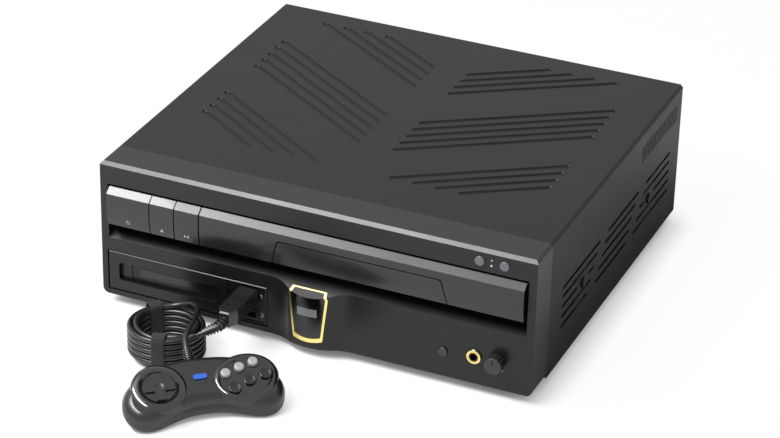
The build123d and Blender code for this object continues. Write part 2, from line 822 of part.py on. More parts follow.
def make_mechanism_frame():
    """Two drawer guides tied by cross members that stand on legs."""
    frame = frontal(rail_section(left_web, 1), rail_front, rail_rear)
    frame += frontal(rail_section(right_web, -1), rail_front, rail_rear)
    left, right = left_web - rail_web, right_web + rail_web
    for y in (front_cross_y, rear_cross_y):
        beam = block(left, right, y, y + cross_deep, cross_low, cross_high)
        beam -= block(left + 8, right - 8, y + 3, y + cross_deep - 3, cross_low + 3, cross_high + 1)
        beam += block(gear_x - 14, gear_x + 14, front_cross_y, front_cross_y + cross_deep,
                      cross_low, cross_high)
        frame += beam
        for x0 in (left, right - 10):
            frame += block(x0, x0 + 10, y, y + cross_deep, cross_high - 1, rail_low + 1)
        pin_y = y + cross_deep / 2
        for x in (tray_centre - pin_x, tray_centre + pin_x):
            frame += rod(x, pin_y, deck_top - deck_thick - 6, pin_r, cross_low + 4 - deck_top + deck_thick + 6)
            frame += rod(x, pin_y, deck_top - deck_thick - 3 - slip, pin_r + 2.5, 3)
    frame -= rod(gear_x, gear_y, cross_low - 1, 2.0, 20)
    for x0, y in ((left, rear_cross_y), (right - 12, rear_cross_y), (right - 12, front_cross_y)):
        frame += block(x0, x0 + 12, y, y + 12, pan_floor, cross_low + 1)
    frame += block(-64, -46, front_cross_y, front_cross_y + cross_deep, cage_roof + cage_wall,
                   cross_low + 1)
    return frame


def make_gear():
    """Drawer gear: straight-flanked teeth round a bored hub."""
    pitch_r = gear_module * gear_teeth / 2
    step = 2 * pi / gear_teeth
    points = []
    for i in range(gear_teeth):
        middle = i * step
        for radius, share in ((pitch_r - 1.05, -0.225), (pitch_r + 0.8, -0.1),
                              (pitch_r + 0.8, 0.1), (pitch_r - 1.05, 0.225)):
            angle = middle + share * step
            points.append((gear_x + radius * cos(angle), gear_y + radius * sin(angle)))
    gear = upright(area(*points), gear_low, gear_low + gear_thick)
    return gear - rod(gear_x, gear_y, gear_low - 1, 1.5, 10)


def make_loading_motor():
    can = rod(gear_x, gear_y, cross_low - 22, 12.0, 22)
    can = fillet(can.edges().filter_by(GeomType.CIRCLE).sort_by(Axis.Z)[0], 2.0)
    can += rod(gear_x, gear_y, cross_low - 1, 1.2, gear_low + gear_thick - cross_low + 1.5)
    return can


bridge_y0 = disc_y - 20.0
bridge_y1 = disc_y + 20.0
bridge_top = rail_high + 10.0


def make_clamp_bridge():
    """Folded channel across the guides that holds the clamp over the disc."""
    left, right = left_web - rail_web, right_web + rail_web
    beam = block(left, right, bridge_y0, bridge_y1, rail_high, bridge_top)
    room = block(left + 9, right - 9, bridge_y0 - 1, bridge_y1 + 1, rail_high - 1, bridge_top - 3)
    room = chamfer(room.edges().filter_by(Axis.Y).group_by(Axis.Z)[-1], 4)
    beam -= room
    beam += block(left + 9, right - 9, bridge_y0, bridge_y0 + 1.2, bridge_top - 7, bridge_top)
    beam += block(left + 9, right - 9, bridge_y1 - 1.2, bridge_y1, bridge_top - 7, bridge_top)
    beam -= rod(tray_centre, disc_y, bridge_top - 5, 7.0, 10)
    for x in (left + 60, right - 60):
        beam -= upright(Pos(x, disc_y) * SlotOverall(60, 16), bridge_top - 5, bridge_top + 1)
    return beam


def make_clamp():
    """Clamp puck that hangs through the bridge by its collar."""
    low = tray_floor + tray_thick + 2.7
    puck = rod(tray_centre, disc_y, low, 17.0, 4.0)
    puck += rod(tray_centre, disc_y, low + 3, 6.4, bridge_top + slip - low - 2.9)
    puck += rod(tray_centre, disc_y, bridge_top + slip, 10.0, 2.0)
    puck -= rod(tray_centre, disc_y, low - 1, 8.0, 3.0)
    return puck


deck_front = front_cross_y + 1.5
deck_rear = rear_cross_y + cross_deep - 1.5
rod_start = disc_y + 5.0
rod_end = 154.0
sled_travel = 118.0


def make_deck():
    """Lifting deck that carries the disc motor and the pickup's rods."""
    plate = block(tray_centre - deck_half, tray_centre + deck_half, deck_front, deck_rear,
                  deck_top - deck_thick, deck_top)
    for y in (front_cross_y, rear_cross_y):
        for x in (tray_centre - pin_x, tray_centre + pin_x):
            plate -= rod(x, y + cross_deep / 2, deck_top - 10, pin_r + slip, 20)
    for y0 in (rod_start - 6.0, rod_end):
        for x in (tray_centre - rod_offset, tray_centre + rod_offset):
            plate += block(x - 4.5, x + 4.5, y0, y0 + 6, deck_top - 1, rod_height + 4)
    plate -= upright(Pos(tray_centre, 72) * SlotOverall(120, 44, rotation=90), deck_top - 5, deck_top + 1)
    plate -= upright(Pos(tray_centre, -92) * SlotOverall(84, 40), deck_top - 5, deck_top + 1)
    return plate


def make_sled():
    """Pickup sled on two rods, with its lens turret near the hub end."""
    y0, y1 = sled_home - sled_length / 2, sled_home + sled_length / 2
    body = block(tray_centre - sled_half_width, tray_centre + sled_half_width, y0, y1,
                 rod_height - 5, rod_height + 5)
    body += block(tray_centre - 18, tray_centre + 18, y0, y1, rod_height - 7, rod_height + 12)
    body = fillet(body.edges().filter_by(Axis.Z), 2.0)
    for x in (tray_centre - rod_offset, tray_centre + rod_offset):
        body -= rod(x, y0 - 1, rod_height, rod_r + slip, sled_length + 2, "y")
    lens_y = y0 + 7
    body += rod(tray_centre, lens_y, rod_height + 11, 6.0, 4.0)
    body -= rod(tray_centre, lens_y, rod_height + 14, 3.6, 4.0)
    return body


def make_turntable():
    top = rod(tray_centre, disc_y, turntable_top - 2.5, turntable_r, 2.5)
    hub = Pos(tray_centre, disc_y, turntable_top + 1.4) * Cone(7.4, 5.6, 2.8)
    stem = rod(tray_centre, disc_y, deck_top + 24, 4.0, turntable_top - deck_top - 26)
    return top + hub + stem


save(make_mechanism_frame(), "mechanism_frame")
save(make_gear(), "drawer_gear")
save(make_loading_motor(), "loading_motor")
save(make_clamp_bridge(), "clamp_bridge")
save(make_clamp(), "disc_clamp")
save(make_deck(), "lift_deck")
rods = [rod(x, rod_start, rod_height, rod_r, rod_end - rod_start, "y")
        for x in (tray_centre - rod_offset, tray_centre + rod_offset)]
save(group(*rods), "pickup_rods")
save(make_sled(), "pickup_sled")
save(make_turntable(), "turntable")
save(rod(tray_centre, disc_y, deck_top, motor_r, 24 - slip), "disc_motor")


# ---------------------------------------------------------------- game pack and its bay
def make_bay():
    """Sheet metal sleeve that the pack slides into, with runners and a rear window."""
    y0 = front_y + bezel_wall + slip
    y1 = pack_rear + 4.0
    shell = block(cage_left - cage_wall, cage_right + cage_wall, y0, y1 + cage_wall,
                  cage_floor - cage_wall, cage_roof + cage_wall)
    shell -= block(cage_left, cage_right, y0 - 1, y1, cage_floor, cage_roof)
    shell -= block(plate_left, plate_right, y1 - 1, y1 + cage_wall + 1, plate_low, plate_high)
    for x in (-180.0, -70.0):
        shell += block(x - 4, x + 4, y0, y1, cage_floor - 0.5, pack_low + pack_gap - slip)
        for y in (bezel_rear + 10, y1 - 20):
            shell += block(x - 6, x + 6, y, y + 12, pan_floor, cage_floor - 0.5)
    return shell


plate_left, plate_right, plate_low, plate_high = -160.0, -90.0, 26.0, 40.0


def make_pack_socket():
    """Edge socket on the back of the bay that the pack plugs into."""
    y1 = pack_rear + 4.0
    body = block(plate_left, plate_right, y1 - 1.5, y1 + 10, plate_low, plate_high)
    body -= block(plate_left + 5, plate_right - 5, y1 - 2, y1 + 7, plate_low + 4.5, plate_high - 4.5)
    return body


def make_pack_case():
    """Body of the pack: cartridge well in front, contact tongue at the back."""
    x0, x1 = pack_left + pack_gap, pack_right - pack_gap
    z0, z1 = pack_low + pack_gap, pack_high - pack_gap
    y0 = front_y + pack_face_depth
    body = block(x0, x1, y0, pack_rear, z0, z1)
    body = fillet(body.edges().filter_by(Axis.Y), 2.0)
    body -= block(door_left, slot_right, y0 - 1, front_y + slot_depth, slot_low, slot_high)
    for z in port_heights:
        body -= block(port_x - 10, port_x + 10, y0 - 1, y0 + 8, z - 6, z + 6)
    mid = (plate_low + plate_high) / 2
    body += block(plate_left + 6, plate_right - 6, pack_rear - 1, pack_rear + 9, mid - 1.2, mid + 1.2)
    return body


mouth_depth = 4.0        # depth of the pocket round the cartridge door
door_thick = 1.6
door_pin = 0.7           # radius of the door's stub pins
hinge_y = front_y + (mouth_depth + pack_face_depth) / 2
hinge_z = slot_high - 2.2


def port_outline(x, z, grow=0.0):
    """D-shaped nine-way port, wider at the top."""
    half, low = port_width / 2 + grow, port_width / 2 - 1.2 + grow
    rise = port_height / 2 + grow
    shape = area((x - half, z + rise), (x + half, z + rise), (x + low, z - rise), (x - low, z - rise))
    return fillet(shape.vertices(), 1.8 + grow)


panel_left = -84.0
panel_sink = 1.0


def make_pack_face():
    """Front of the pack: cartridge slot frame and the sunk panel of the two ports."""
    x0, x1 = pack_left + pack_gap, pack_right - pack_gap
    z0, z1 = pack_low + pack_gap, pack_high - pack_gap
    y1 = front_y + pack_face_depth
    face = block(x0, x1, front_y, y1, z0, z1)
    front_edges = face.faces().sort_by(Axis.Y)[0].edges()
    face = chamfer(front_edges, 0.6)
    middle = ((slot_left + slot_right) / 2, (slot_low + slot_high) / 2)
    mouth = Pos(*middle) * RectangleRounded(slot_right - slot_left, slot_high - slot_low, 2.5)
    face -= frontal(mouth, front_y - 1, front_y + mouth_depth)
    face -= block(door_left, slot_right, front_y + 2, y1 + 1, slot_low, slot_high)
    for x in (door_left - 1.6, slot_right - 1):
        face -= rod(x, hinge_y, hinge_z, door_pin + slip, 2.6, "x")
    panel = block(panel_left, x1 - 2.0, front_y - 1, front_y + panel_sink, z0 + 1.5, z1 - 1.5)
    face -= panel
    for z in port_heights:
        face -= frontal(port_outline(port_x, z, 0.2), front_y - 1, y1 + 1)
    return face


def make_door():
    """Cartridge door: a flap that swings inward on two stub pins at its top."""
    flap = block(door_left + slip, slot_right - slip, hinge_y - door_thick / 2,
                 hinge_y + door_thick / 2, slot_low + slip, hinge_z)
    flap += rod(door_left + slip, hinge_y, hinge_z, 1.5, slot_right - door_left - 2 * slip, "x")
    for x, length in ((door_left - 1.2, 2.0), (slot_right - 0.8, 2.0)):
        flap += rod(x, hinge_y, hinge_z, door_pin, length, "x")
    return flap


def make_ports():
    """Metal shells of the two ports round their contact floors."""
    shells = []
    for z in port_heights:
        shell = frontal(port_outline(port_x, z), front_y - 0.2, front_y + pack_face_depth + 6)
        shell -= frontal(port_outline(port_x, z, -0.9), front_y - 1, front_y + pack_face_depth)
        shells.append(shell)
    return group(*shells)


save(make_bay() + make_pack_socket(), "pack_bay")
save(make_pack_case(), "pack_case")
save(make_pack_face(), "pack_face")
save(make_door(), "cartridge_door")
save(make_ports(), "controller_ports")

# ---------------------------------------------------------------- plug and cord
plug_half = 9.25
plug_rise = 7.5
plug_z = port_heights[0]
plug_start = front_y - 0.4
plug_waist = -231.0
plug_tail = -240.0


def make_plug():
    """Moulded plug: square body, cut-back tail, five grip ribs on top."""
    plan = area((port_x - plug_half, plug_start), (port_x + plug_half, plug_start),
                (port_x + plug_half, plug_waist), (port_x + 4.8, plug_tail),
                (port_x - 4.8, plug_tail), (port_x - plug_half, plug_waist))
    body = upright(plan, plug_z - plug_rise, plug_z + plug_rise)
    tops = body.edges().filter_by_position(Axis.Z, plug_z + plug_rise, plug_z + plug_rise)
    bottoms = body.edges().filter_by_position(Axis.Z, plug_z - plug_rise, plug_z - plug_rise)
    body = chamfer(tops + bottoms, 1.2)
    for i in range(5):
        y = -207.0 - 3.0 * i
        body += block(port_x - 5, port_x + 5, y - 0.7, y + 0.7, plug_z + plug_rise - 1,
                      plug_z + plug_rise + 0.7)
    nose_part = frontal(port_outline(port_x, plug_z, -1.3), plug_start - 1, front_y + 5)
    return body + nose_part


def unit(vector):
    return Vector(*vector).normalized()


def run_radii(points):
    """The largest tangent arc at each corner that its two runs allow."""
    radii = []
    for before, corner, after in zip(points, points[1:], points[2:]):
        first, second = Vector(*corner) - Vector(*before), Vector(*after) - Vector(*corner)
        turn = radians(first.get_angle(second))
        radii.append(0.45 * min(first.length, second.length) / tan(turn / 2))
    return radii


def tube(points, radius, name):
    """A round tube along straight runs joined by tangent arcs."""
    radii = run_radii(points)
    path = FilletPolyline(*points, radius=radii)
    start = Plane(origin=path @ 0, z_dir=path % 0)
    solid = sweep(start * Circle(radius), path)
    share = solid.volume / (pi * radius ** 2 * path.length)
    print(name, "radii", [round(r, 1) for r in radii], "length", round(path.length, 1),
          "volume share", round(share, 4))
    return solid


coil_floor = 1.1 + cord_d / 2        # the ties pass under the coil
coil_start_angle = -43.0
coil_end_angle = 122.0
coil_step = 0.9                      # extra rise where the inner layer passes the crossover
outer_turns = 5.25


def coil_point(turn):
    """Centre line of the coil: clockwise down outside, across, and up inside."""
    angle = radians(coil_start_angle - 360 * turn)
    top = coil_floor + coil_pitch * outer_turns
    if turn <= outer_turns - 0.25:
        radius, z = coil_outer, top - coil_pitch * turn
    elif turn <= outer_turns:
        share = (turn - outer_turns + 0.25) / 0.25
        radius = coil_outer + (coil_inner - coil_outer) * share
        z = top - coil_pitch * turn
    else:
        climbed = turn - outer_turns
        radius = coil_inner
        z = coil_floor + coil_pitch * climbed + coil_step * min(climbed / 0.75, 1.0)
    return Vector(coil_x + radius * cos(angle), coil_y + radius * sin(angle), z)


def coil_tangent(turn, step=1e-3):
    angle = radians(coil_start_angle - 360 * turn)
    rise = coil_point(turn + step).Z - coil_point(turn - step).Z
    run = 2 * pi * coil_inner * 2 * step
    return unit((sin(angle), -cos(angle), rise / run))


def biarc(p0, t0, p1, t1):
    """Two arcs, tangent to each other and to the given directions at both ends."""
    chord = p1 - p0
    both = t0 + t1
    a = both.dot(both) - 4
    b = -2 * chord.dot(both)
    c = chord.dot(chord)
    reach = (-b - (b * b - 4 * a * c) ** 0.5) / (2 * a)
    joint = (p0 + t0 * reach + p1 - t1 * reach) * 0.5
    middle = ((p1 - t1 * reach) - (p0 + t0 * reach)).normalized()
    return [TangentArc(p0, joint, tangent=t0), TangentArc(joint, p1, tangent=middle)]


def coil_stations():
    inner_turns = outer_turns - 0.25
    end_turn = outer_turns + inner_turns
    drift = (coil_start_angle - 360 * end_turn - coil_end_angle) % 360
    end_turn += drift / 360
    stations = [0.25 * i for i in range(int(end_turn / 0.25) + 1)]
    if end_turn - stations[-1] > 0.05:
        stations.append(end_turn)
    return stations


def make_coil():
    """One unbroken tube: two layers of close turns."""
    stations = coil_stations()
    edges = []
    for a, b in zip(stations, stations[1:]):
        edges += biarc(coil_point(a), coil_tangent(a), coil_point(b), coil_tangent(b))
    path = Wire(edges)
    start = Plane(origin=coil_point(0), z_dir=coil_tangent(0))
    solid = sweep(start * Circle(cord_d / 2), path)
    share = solid.volume / (pi * cord_d ** 2 / 4 * path.length)
    marks = [coil_point(stations[-1] * i / 900) for i in range(901)]
    skip = 30
    gap = min((marks[i] - marks[j]).length for i in range(0, 901, 2)
              for j in range(i + skip, 901, 1)) - cord_d
    print("coil length", round(path.length, 1), "least gap", round(gap, 2),
          "volume share", round(share, 4), "turns", round(stations[-1], 2))
    return solid


tie_width = 12.0
tie_thick = 0.9
tie_angles = (-75.0, 138.0)


def coil_top_at(angle):
    """Top of the coil's highest turn near an angle in plan."""
    last = coil_stations()[-1]
    tops = []
    for i in range(int(last * 60) + 1):
        point = coil_point(i / 60)
        around = degrees(atan2(point.Y - coil_y, point.X - coil_x))
        if abs((around - angle + 180) % 360 - 180) < 15:
            tops.append(point.Z + cord_d / 2)
    return max(tops)


def make_tie(angle):
    """A woven tie round the wires of the coil."""
    coil_top = coil_top_at(angle)
    inside_r, outside_r = coil_inner - cord_d / 2 - 1.2, coil_outer + cord_d / 2 + 0.4
    high = coil_top + 0.3 + tie_thick
    middle = ((inside_r + outside_r) / 2, high / 2)
    span = outside_r - inside_r
    loop = Pos(*middle) * RectangleRounded(span + 2 * tie_thick, high, 2.2)
    hole = Pos(*middle) * RectangleRounded(span, high - 2 * tie_thick, 1.4)
    band = extrude(Plane.XZ.offset(-tie_width / 2) * (loop - hole), tie_width)
    return Pos(coil_x, coil_y, 0) * Rot(0, 0, angle) * band


boot_bend = (port_x, plug_tail - 8.0, plug_z - 2.0)
coil_entry = coil_point(0)
coil_run = coil_entry - coil_tangent(0) * 9.0
boot_way = (coil_run - Vector(*boot_bend)).normalized()
boot_end = Vector(*boot_bend) + boot_way * 16.0
boot_r = 3.4


def make_plug_boot():
    """Ribbed strain relief that bends from the plug towards the coil."""
    points = [(port_x, plug_tail + 2, plug_z + 0.2), boot_bend, tuple(boot_end)]
    path = FilletPolyline(*points, radius=run_radii(points))
    start = Plane(origin=path @ 0, z_dir=path % 0)
    core = sweep(start * Circle(boot_r), path)
    for i in range(7):
        at = 0.16 + 0.11 * i
        ring_r = 5.4 - 0.17 * i
        plane = Plane(origin=path @ at, z_dir=path % at)
        core += extrude(plane * Circle(ring_r), 1.5)
    return core


pad_plane = Plane(origin=(pad_x, pad_y, pad_z), x_dir=(cos(radians(pad_turn)), sin(radians(pad_turn)), 0),
                  z_dir=(sin(radians(pad_turn)) * sin(radians(pad_tilt)),
                         -cos(radians(pad_turn)) * sin(radians(pad_tilt)), cos(radians(pad_tilt))))
pad_boot_u = -4.5
pad_boot_w = 28.0
pad_boot_depth = 9.0
pad_boot_length = 13.0


def on_pad(u, w, height):
    """A point of the controller's own frame, in the room."""
    return pad_plane.from_local_coords(Vector(u, w, height))


pad_exit = on_pad(pad_boot_u, pad_boot_w + pad_boot_length, -pad_boot_depth)
pad_run = on_pad(pad_boot_u, pad_boot_w + pad_boot_length + 12, -pad_boot_depth)
save(make_plug() + make_plug_boot(), "controller_plug")
lead_in = [tuple(boot_end), tuple(coil_run), tuple(coil_entry)]
save(tube(lead_in, cord_d / 2, "cord to coil"), "cord_plug_side")
coil_exit = coil_point(coil_stations()[-1])
coil_away = coil_exit + coil_tangent(coil_stations()[-1]) * 12.0
lead_out = [tuple(coil_exit), tuple(coil_away), (-104.5, -218.0, 40.0), (-92.5, -228.5, 44.0),
            (-86.0, -246.0, 45.5), (-82.0, -262.0, 46.0), tuple(pad_run), tuple(pad_exit)]
save(tube(lead_out, cord_d / 2, "cord to controller"), "cord_controller_side")
save(make_coil(), "cord_coil")
save(group(*[make_tie(angle) for angle in tie_angles]), "cord_ties")

# ---------------------------------------------------------------- controller
pad_seam = 9.0
pad_thick = 19.0
pad_half_outline = ((0.0, 29.3), (23.0, 27.2), (45.0, 20.8), (61.0, 9.8), (69.8, -4.0), (70.0, -18.0),
                    (62.5, -28.8), (51.0, -32.2), (37.5, -28.8), (20.0, -21.4))
pad_low_middle = (0.0, -18.6)
lobe_bulge = 2.3         # how far the lower shell stands forward of the seam at the lobes
middle_bulge = 5.2
well_r = 15.2
ring_r = 23.9
ring_crest_r = 17.4
ring_crest = 2.1
pad_centre = (-38.0, -1.2)
dish_centre = (38.0, -1.2)
dish_turn = 12.0
start_spot = (-1.0, 4.9)
low_buttons = {"pad_button_a": (26.2, -11.6), "pad_button_b": (40.6, -5.0), "pad_button_c": (55.4, -0.7)}
high_buttons = {"pad_button_x": (21.4, 4.3), "pad_button_y": (34.3, 8.7), "pad_button_z": (47.2, 12.4)}
low_button_r = 5.6
high_button_r = 4.7
pocket_floor = -4.8
disc_low = -1.2          # underside of the direction disc
button_foot = -3.5


def bulged(u, w):
    """A point of the outline, moved forward as the lower shell's front stands out."""
    ahead = min(1.0, max(0.0, -w / 18.0))
    share = min(1.0, (u / 44.0) ** 2)
    return (u, w - ahead * (middle_bulge + (lobe_bulge - middle_bulge) * share))


def pad_outline(inset, height, low=False):
    """Plan of the controller, drawn in along its normals by an inset."""
    right = list(pad_half_outline)
    left = [(-x, y) for x, y in reversed(right[1:])]
    ring = right + [pad_low_middle] + left
    if low:
        ring = [bulged(*point) for point in ring]
    drawn = []
    count = len(ring)
    for i in range(count):
        (xa, ya), (x, y), (xb, yb) = ring[i - 1], ring[i], ring[(i + 1) % count]
        along = hypot(xb - xa, yb - ya)
        nx, ny = (yb - ya) / along, -(xb - xa) / along
        drawn.append((x + nx * inset, y + ny * inset))
    return Pos(0, 0, height) * make_face(Spline(*drawn, periodic=True))


def oval(half_long, half_short, height):
    return Pos(*dish_centre, height) * Rot(0, 0, dish_turn) * Ellipse(half_long, half_short)


def in_room(shape):
    """Lay a piece from the controller's own frame into the room."""
    return pad_plane.location * shape


def make_ring():
    """Raised ring round the direction disc, its outside gently rounded."""
    skirt = Polyline((ring_r, 0.0), (ring_r + 0.8, -4.0), (0.0, -4.0), (0.0, ring_crest),
                     (ring_crest_r, ring_crest))
    brow = ThreePointArc((ring_crest_r, ring_crest), (ring_r - 2.6, 0.68 * ring_crest), (ring_r, 0.0))
    section = make_face([skirt, brow])
    return Pos(*pad_centre) * revolve(Plane.XZ * section, Axis.Z)


def make_pad_shells():
    """Two shells of the controller with the raised rings, wells and button holes."""
    top = loft([pad_outline(0, -pad_seam), pad_outline(2.4, -4.0), pad_outline(8.0, 0)])
    low = loft([pad_outline(8.0, -pad_thick, True), pad_outline(0.8, -pad_seam - 6, True),
                pad_outline(0.4, -pad_seam)])
    dish = loft([oval(30.0, 25.0, -4.0), oval(28.6, 23.6, 0.0), oval(25.6, 20.6, ring_crest)])
    top = top + make_ring() + dish
    top -= loft([oval(22.8, 17.8, 0.3), oval(24.6, 19.6, ring_crest + 0.1)])
    lip = Cone(well_r + slip, ring_crest_r, ring_crest - 0.4)
    top -= Pos(*pad_centre, ring_crest / 2 + 0.2 + 0.05) * lip
    top -= rod(*pad_centre, pocket_floor, well_r, 10)
    for spots, radius in ((low_buttons, low_button_r), (high_buttons, high_button_r)):
        for u, w in spots.values():
            top -= rod(u, w, pocket_floor, radius + slip, 10)
    top -= Pos(*start_spot, pocket_floor) * extrude(SlotOverall(12.4 + 2 * slip, 5.2 + 2 * slip), 10)
    return top, low


def make_pad_button(u, w, radius, height, dished):
    """Controller button, its top hollow or domed."""
    cap = rod(u, w, button_foot, radius, height - button_foot)
    rim = cap.edges().filter_by(GeomType.CIRCLE).sort_by(Axis.Z)[-1]
    if dished:
        cap = fillet(rim, 0.8)
        cap -= Pos(u, w, height + 13.2) * Sphere(14.0)
    else:
        cap = fillet(rim, 2.0)
    return cap


def make_direction_pad():
    """Direction disc with its raised cross."""
    disc = rod(*pad_centre, disc_low, well_r - 2 * slip - 0.2, 2.6)
    arms = [Pos(*pad_centre, 2.1) * Box(27.0, 8.6, 2.0), Pos(*pad_centre, 2.1) * Box(8.6, 27.0, 2.0)]
    for arm in arms:
        arm = fillet(arm.edges().filter_by(Axis.Z), 1.6)
        disc += arm
    disc -= Pos(*pad_centre, 13.4) * Sphere(11.0)
    return disc


pad_top, pad_low = make_pad_shells()
save(in_room(pad_top), "pad_top_shell")
save(in_room(pad_low), "pad_bottom_shell")
save(in_room(make_direction_pad()), "pad_direction")
pivot_r = (disc_low - pocket_floor) / 2 - slip
pivot = Pos(*pad_centre, (disc_low + pocket_floor) / 2) * Sphere(pivot_r)
save(in_room(pivot), "pad_pivot")
start_key = Pos(*start_spot, button_foot) * extrude(SlotOverall(12.4, 5.2), 1.2 - button_foot)
save(in_room(start_key), "pad_start")
for name, (u, w) in low_buttons.items():
    save(in_room(make_pad_button(u, w, low_button_r, 2.6, True)), name)
for name, (u, w) in high_buttons.items():
    save(in_room(make_pad_button(u, w, high_button_r, 3.6, False)), name)


def make_pad_boot():
    """Ribbed strain relief in the controller's back edge."""
    boot = Plane(origin=(pad_boot_u, pad_boot_w - 1.5, -pad_boot_depth), z_dir=(0, 1, 0))
    core = extrude(boot * Circle(3.3), pad_boot_length + 1.5)
    for i in range(5):
        ring = Plane(origin=(pad_boot_u, pad_boot_w + 1.5 + 2.3 * i, -pad_boot_depth), z_dir=(0, 1, 0))
        core += extrude(ring * Circle(4.4 - 0.15 * i), 1.2)
    return core - pad_top - pad_low


save(in_room(make_pad_boot()), "pad_boot")
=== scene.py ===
# %% [markdown]
# # A disc player with a game pack and its hand controller
# The player's solids come ready made from a CAD model, each piece already in
# its place. This script loads them as a fixed frame, then adds what CAD leaves
# out: the camera and light of a product photograph, a finish for every piece,
# the soft cord with its woven ties, and the small printed marks.

# %% Load the frame
import math
import bmesh
import bpy
from mathutils import Matrix, Vector


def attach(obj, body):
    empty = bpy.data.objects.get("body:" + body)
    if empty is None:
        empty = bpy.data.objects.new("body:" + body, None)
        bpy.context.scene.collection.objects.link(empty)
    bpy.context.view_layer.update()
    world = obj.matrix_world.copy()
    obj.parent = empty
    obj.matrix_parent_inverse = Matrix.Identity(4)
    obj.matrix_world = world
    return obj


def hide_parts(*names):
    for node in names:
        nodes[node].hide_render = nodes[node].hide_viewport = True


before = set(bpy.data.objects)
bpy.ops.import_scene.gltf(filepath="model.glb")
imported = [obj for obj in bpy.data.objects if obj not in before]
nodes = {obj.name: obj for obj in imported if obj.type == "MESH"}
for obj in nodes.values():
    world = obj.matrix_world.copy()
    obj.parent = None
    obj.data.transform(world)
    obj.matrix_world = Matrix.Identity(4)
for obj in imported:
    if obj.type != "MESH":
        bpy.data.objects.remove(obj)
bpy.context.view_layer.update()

scene = bpy.context.scene
MM = 0.001               # the frame is in metres, this object's sizes in millimetres

# %% [markdown]
# The photograph was taken from above and to the right with a long lens, which
# keeps the long edges nearly parallel. A camera could be placed by eye, but then
# no edge would line up. So this one is built from an azimuth, an elevation and a
# small roll round a point in the middle of the body, fitted to the body's edges,
# and then moved sideways along its own axes to frame the object.

# %% Camera
AZIMUTH, ELEVATION, ROLL = 23.105, 28.604, 1.386        # degrees
DISTANCE, SHIFT_X, SHIFT_Y = 2663.202, -8.075, -28.189  # millimetres
BODY_MIDDLE = Vector((0, 0, 75))                        # millimetres
FOCAL_PIXELS, PICTURE_PIXELS = 2856.67, 780             # focal length and picture width
SENSOR = 36.0                                           # sensor width, millimetres
NEAREST, FARTHEST = 0.05, 30                            # what the camera sees, metres

azimuth, elevation, roll = (math.radians(v) for v in (AZIMUTH, ELEVATION, ROLL))
back = Vector((math.sin(azimuth) * math.cos(elevation), -math.cos(azimuth) * math.cos(elevation),
               math.sin(elevation)))
level_right = Vector((math.cos(azimuth), math.sin(azimuth), 0))
level_up = back.cross(level_right)
right = level_right * math.cos(roll) + level_up * math.sin(roll)
up = level_up * math.cos(roll) - level_right * math.sin(roll)
spot = BODY_MIDDLE + back * DISTANCE + right * SHIFT_X + up * SHIFT_Y
lens = bpy.data.cameras.new("camera")
lens.sensor_width = SENSOR
lens.lens = FOCAL_PIXELS * SENSOR / PICTURE_PIXELS
lens.clip_start, lens.clip_end = NEAREST, FARTHEST
camera = bpy.data.objects.new("camera", lens)
camera.matrix_world = Matrix.Translation(spot * MM) @ Matrix((right, up, back)).transposed().to_4x4()
scene.collection.objects.link(camera)
scene.camera = camera
print("camera lens", round(lens.lens, 1), "mm")

# %% [markdown]
# Blender's shaders work in linear light, but a designer reads colours as sRGB
# hex values, so one function turns one into the other. A second one adds a
# shader node with its settings, its plain values and the links that feed it, and
# a third turns a real size into a texture's scale. Every material below is
# written with these three.


# %% Colour, node and size helpers
def linear(code, alpha=1.0):
    """An sRGB hex value as linear light."""
    parts = [int(code[i:i + 2], 16) / 255 for i in (1, 3, 5)]
    return [c / 12.92 if c <= 0.04045 else ((c + 0.055) / 1.055) ** 2.4 for c in parts] + [alpha]


def add(tree, kind, values=None, links=None, **settings):
    """A node with its settings, values and links; links name the outputs that feed it."""
    node = tree.nodes.new("ShaderNode" + kind)
    for key, value in settings.items():
        setattr(node, key, value)
    for socket, value in (values or {}).items():
        node.inputs[socket].default_value = value
    for socket, source in (links or {}).items():
        tree.links.new(source, node.inputs[socket])
    return node


def per_mm(size):
    """The texture scale at which one feature of a pattern has this size in millimetres."""
    return 1.0 / (size * MM)


print("mid grey in linear light:", round(linear("#808080")[0], 3))

# %% [markdown]
# The background of the photograph is plain white. One even world could give it,
# but at full strength it washes out black plastic. So the world is white where
# the camera or a glossy surface looks at it, and much dimmer as a lamp.

# %% The white room
ROOM_SEEN, ROOM_TINT = "#ffffff", "#f4f6f8"
ROOM_AS_LAMP = 0.3       # its strength as a lamp; the camera sees it at 1.0

world = bpy.data.worlds.new("white_room")
world.use_nodes = True
scene.world = world
tree = world.node_tree
tree.nodes.clear()
ray = add(tree, "LightPath").outputs
seen = add(tree, "Math", links={0: ray["Is Camera Ray"], 1: ray["Is Glossy Ray"]}, operation="MAXIMUM")
seen = add(tree, "Math", links={0: seen.outputs[0], 1: ray["Is Transmission Ray"]}, operation="MAXIMUM")
shown = add(tree, "Background", {"Color": linear(ROOM_SEEN), "Strength": 1.0})
fill = add(tree, "Background", {"Color": linear(ROOM_TINT), "Strength": ROOM_AS_LAMP})
both = add(tree, "MixShader", links={0: seen.outputs[0], 1: fill.outputs[0], 2: shown.outputs[0]})
add(tree, "OutputWorld", links={"Surface": both.outputs[0]})
print("room as a lamp:", ROOM_AS_LAMP)

# %% [markdown]
# The object stands on white paper. Plain matt white would turn grey away from the
# lamps and show an edge against the background. So for the camera the paper gives
# off white light of its own, mixed with a little matt white that keeps a faint
# shadow. Close under things an ambient occlusion measure takes its own light away, which paints a shadow
# there, as in the inside of the coil.

# %% The paper floor
PAPER_MATT, PAPER_GLOW = "#ececec", "#ffffff"
GLOW_SHARE = 0.96        # how much of the paper is its own light, in the open
SHUT_IN = 30.0           # how near a thing takes that light away, in millimetres
PAPER_HALF = 4.0         # half its side, in metres

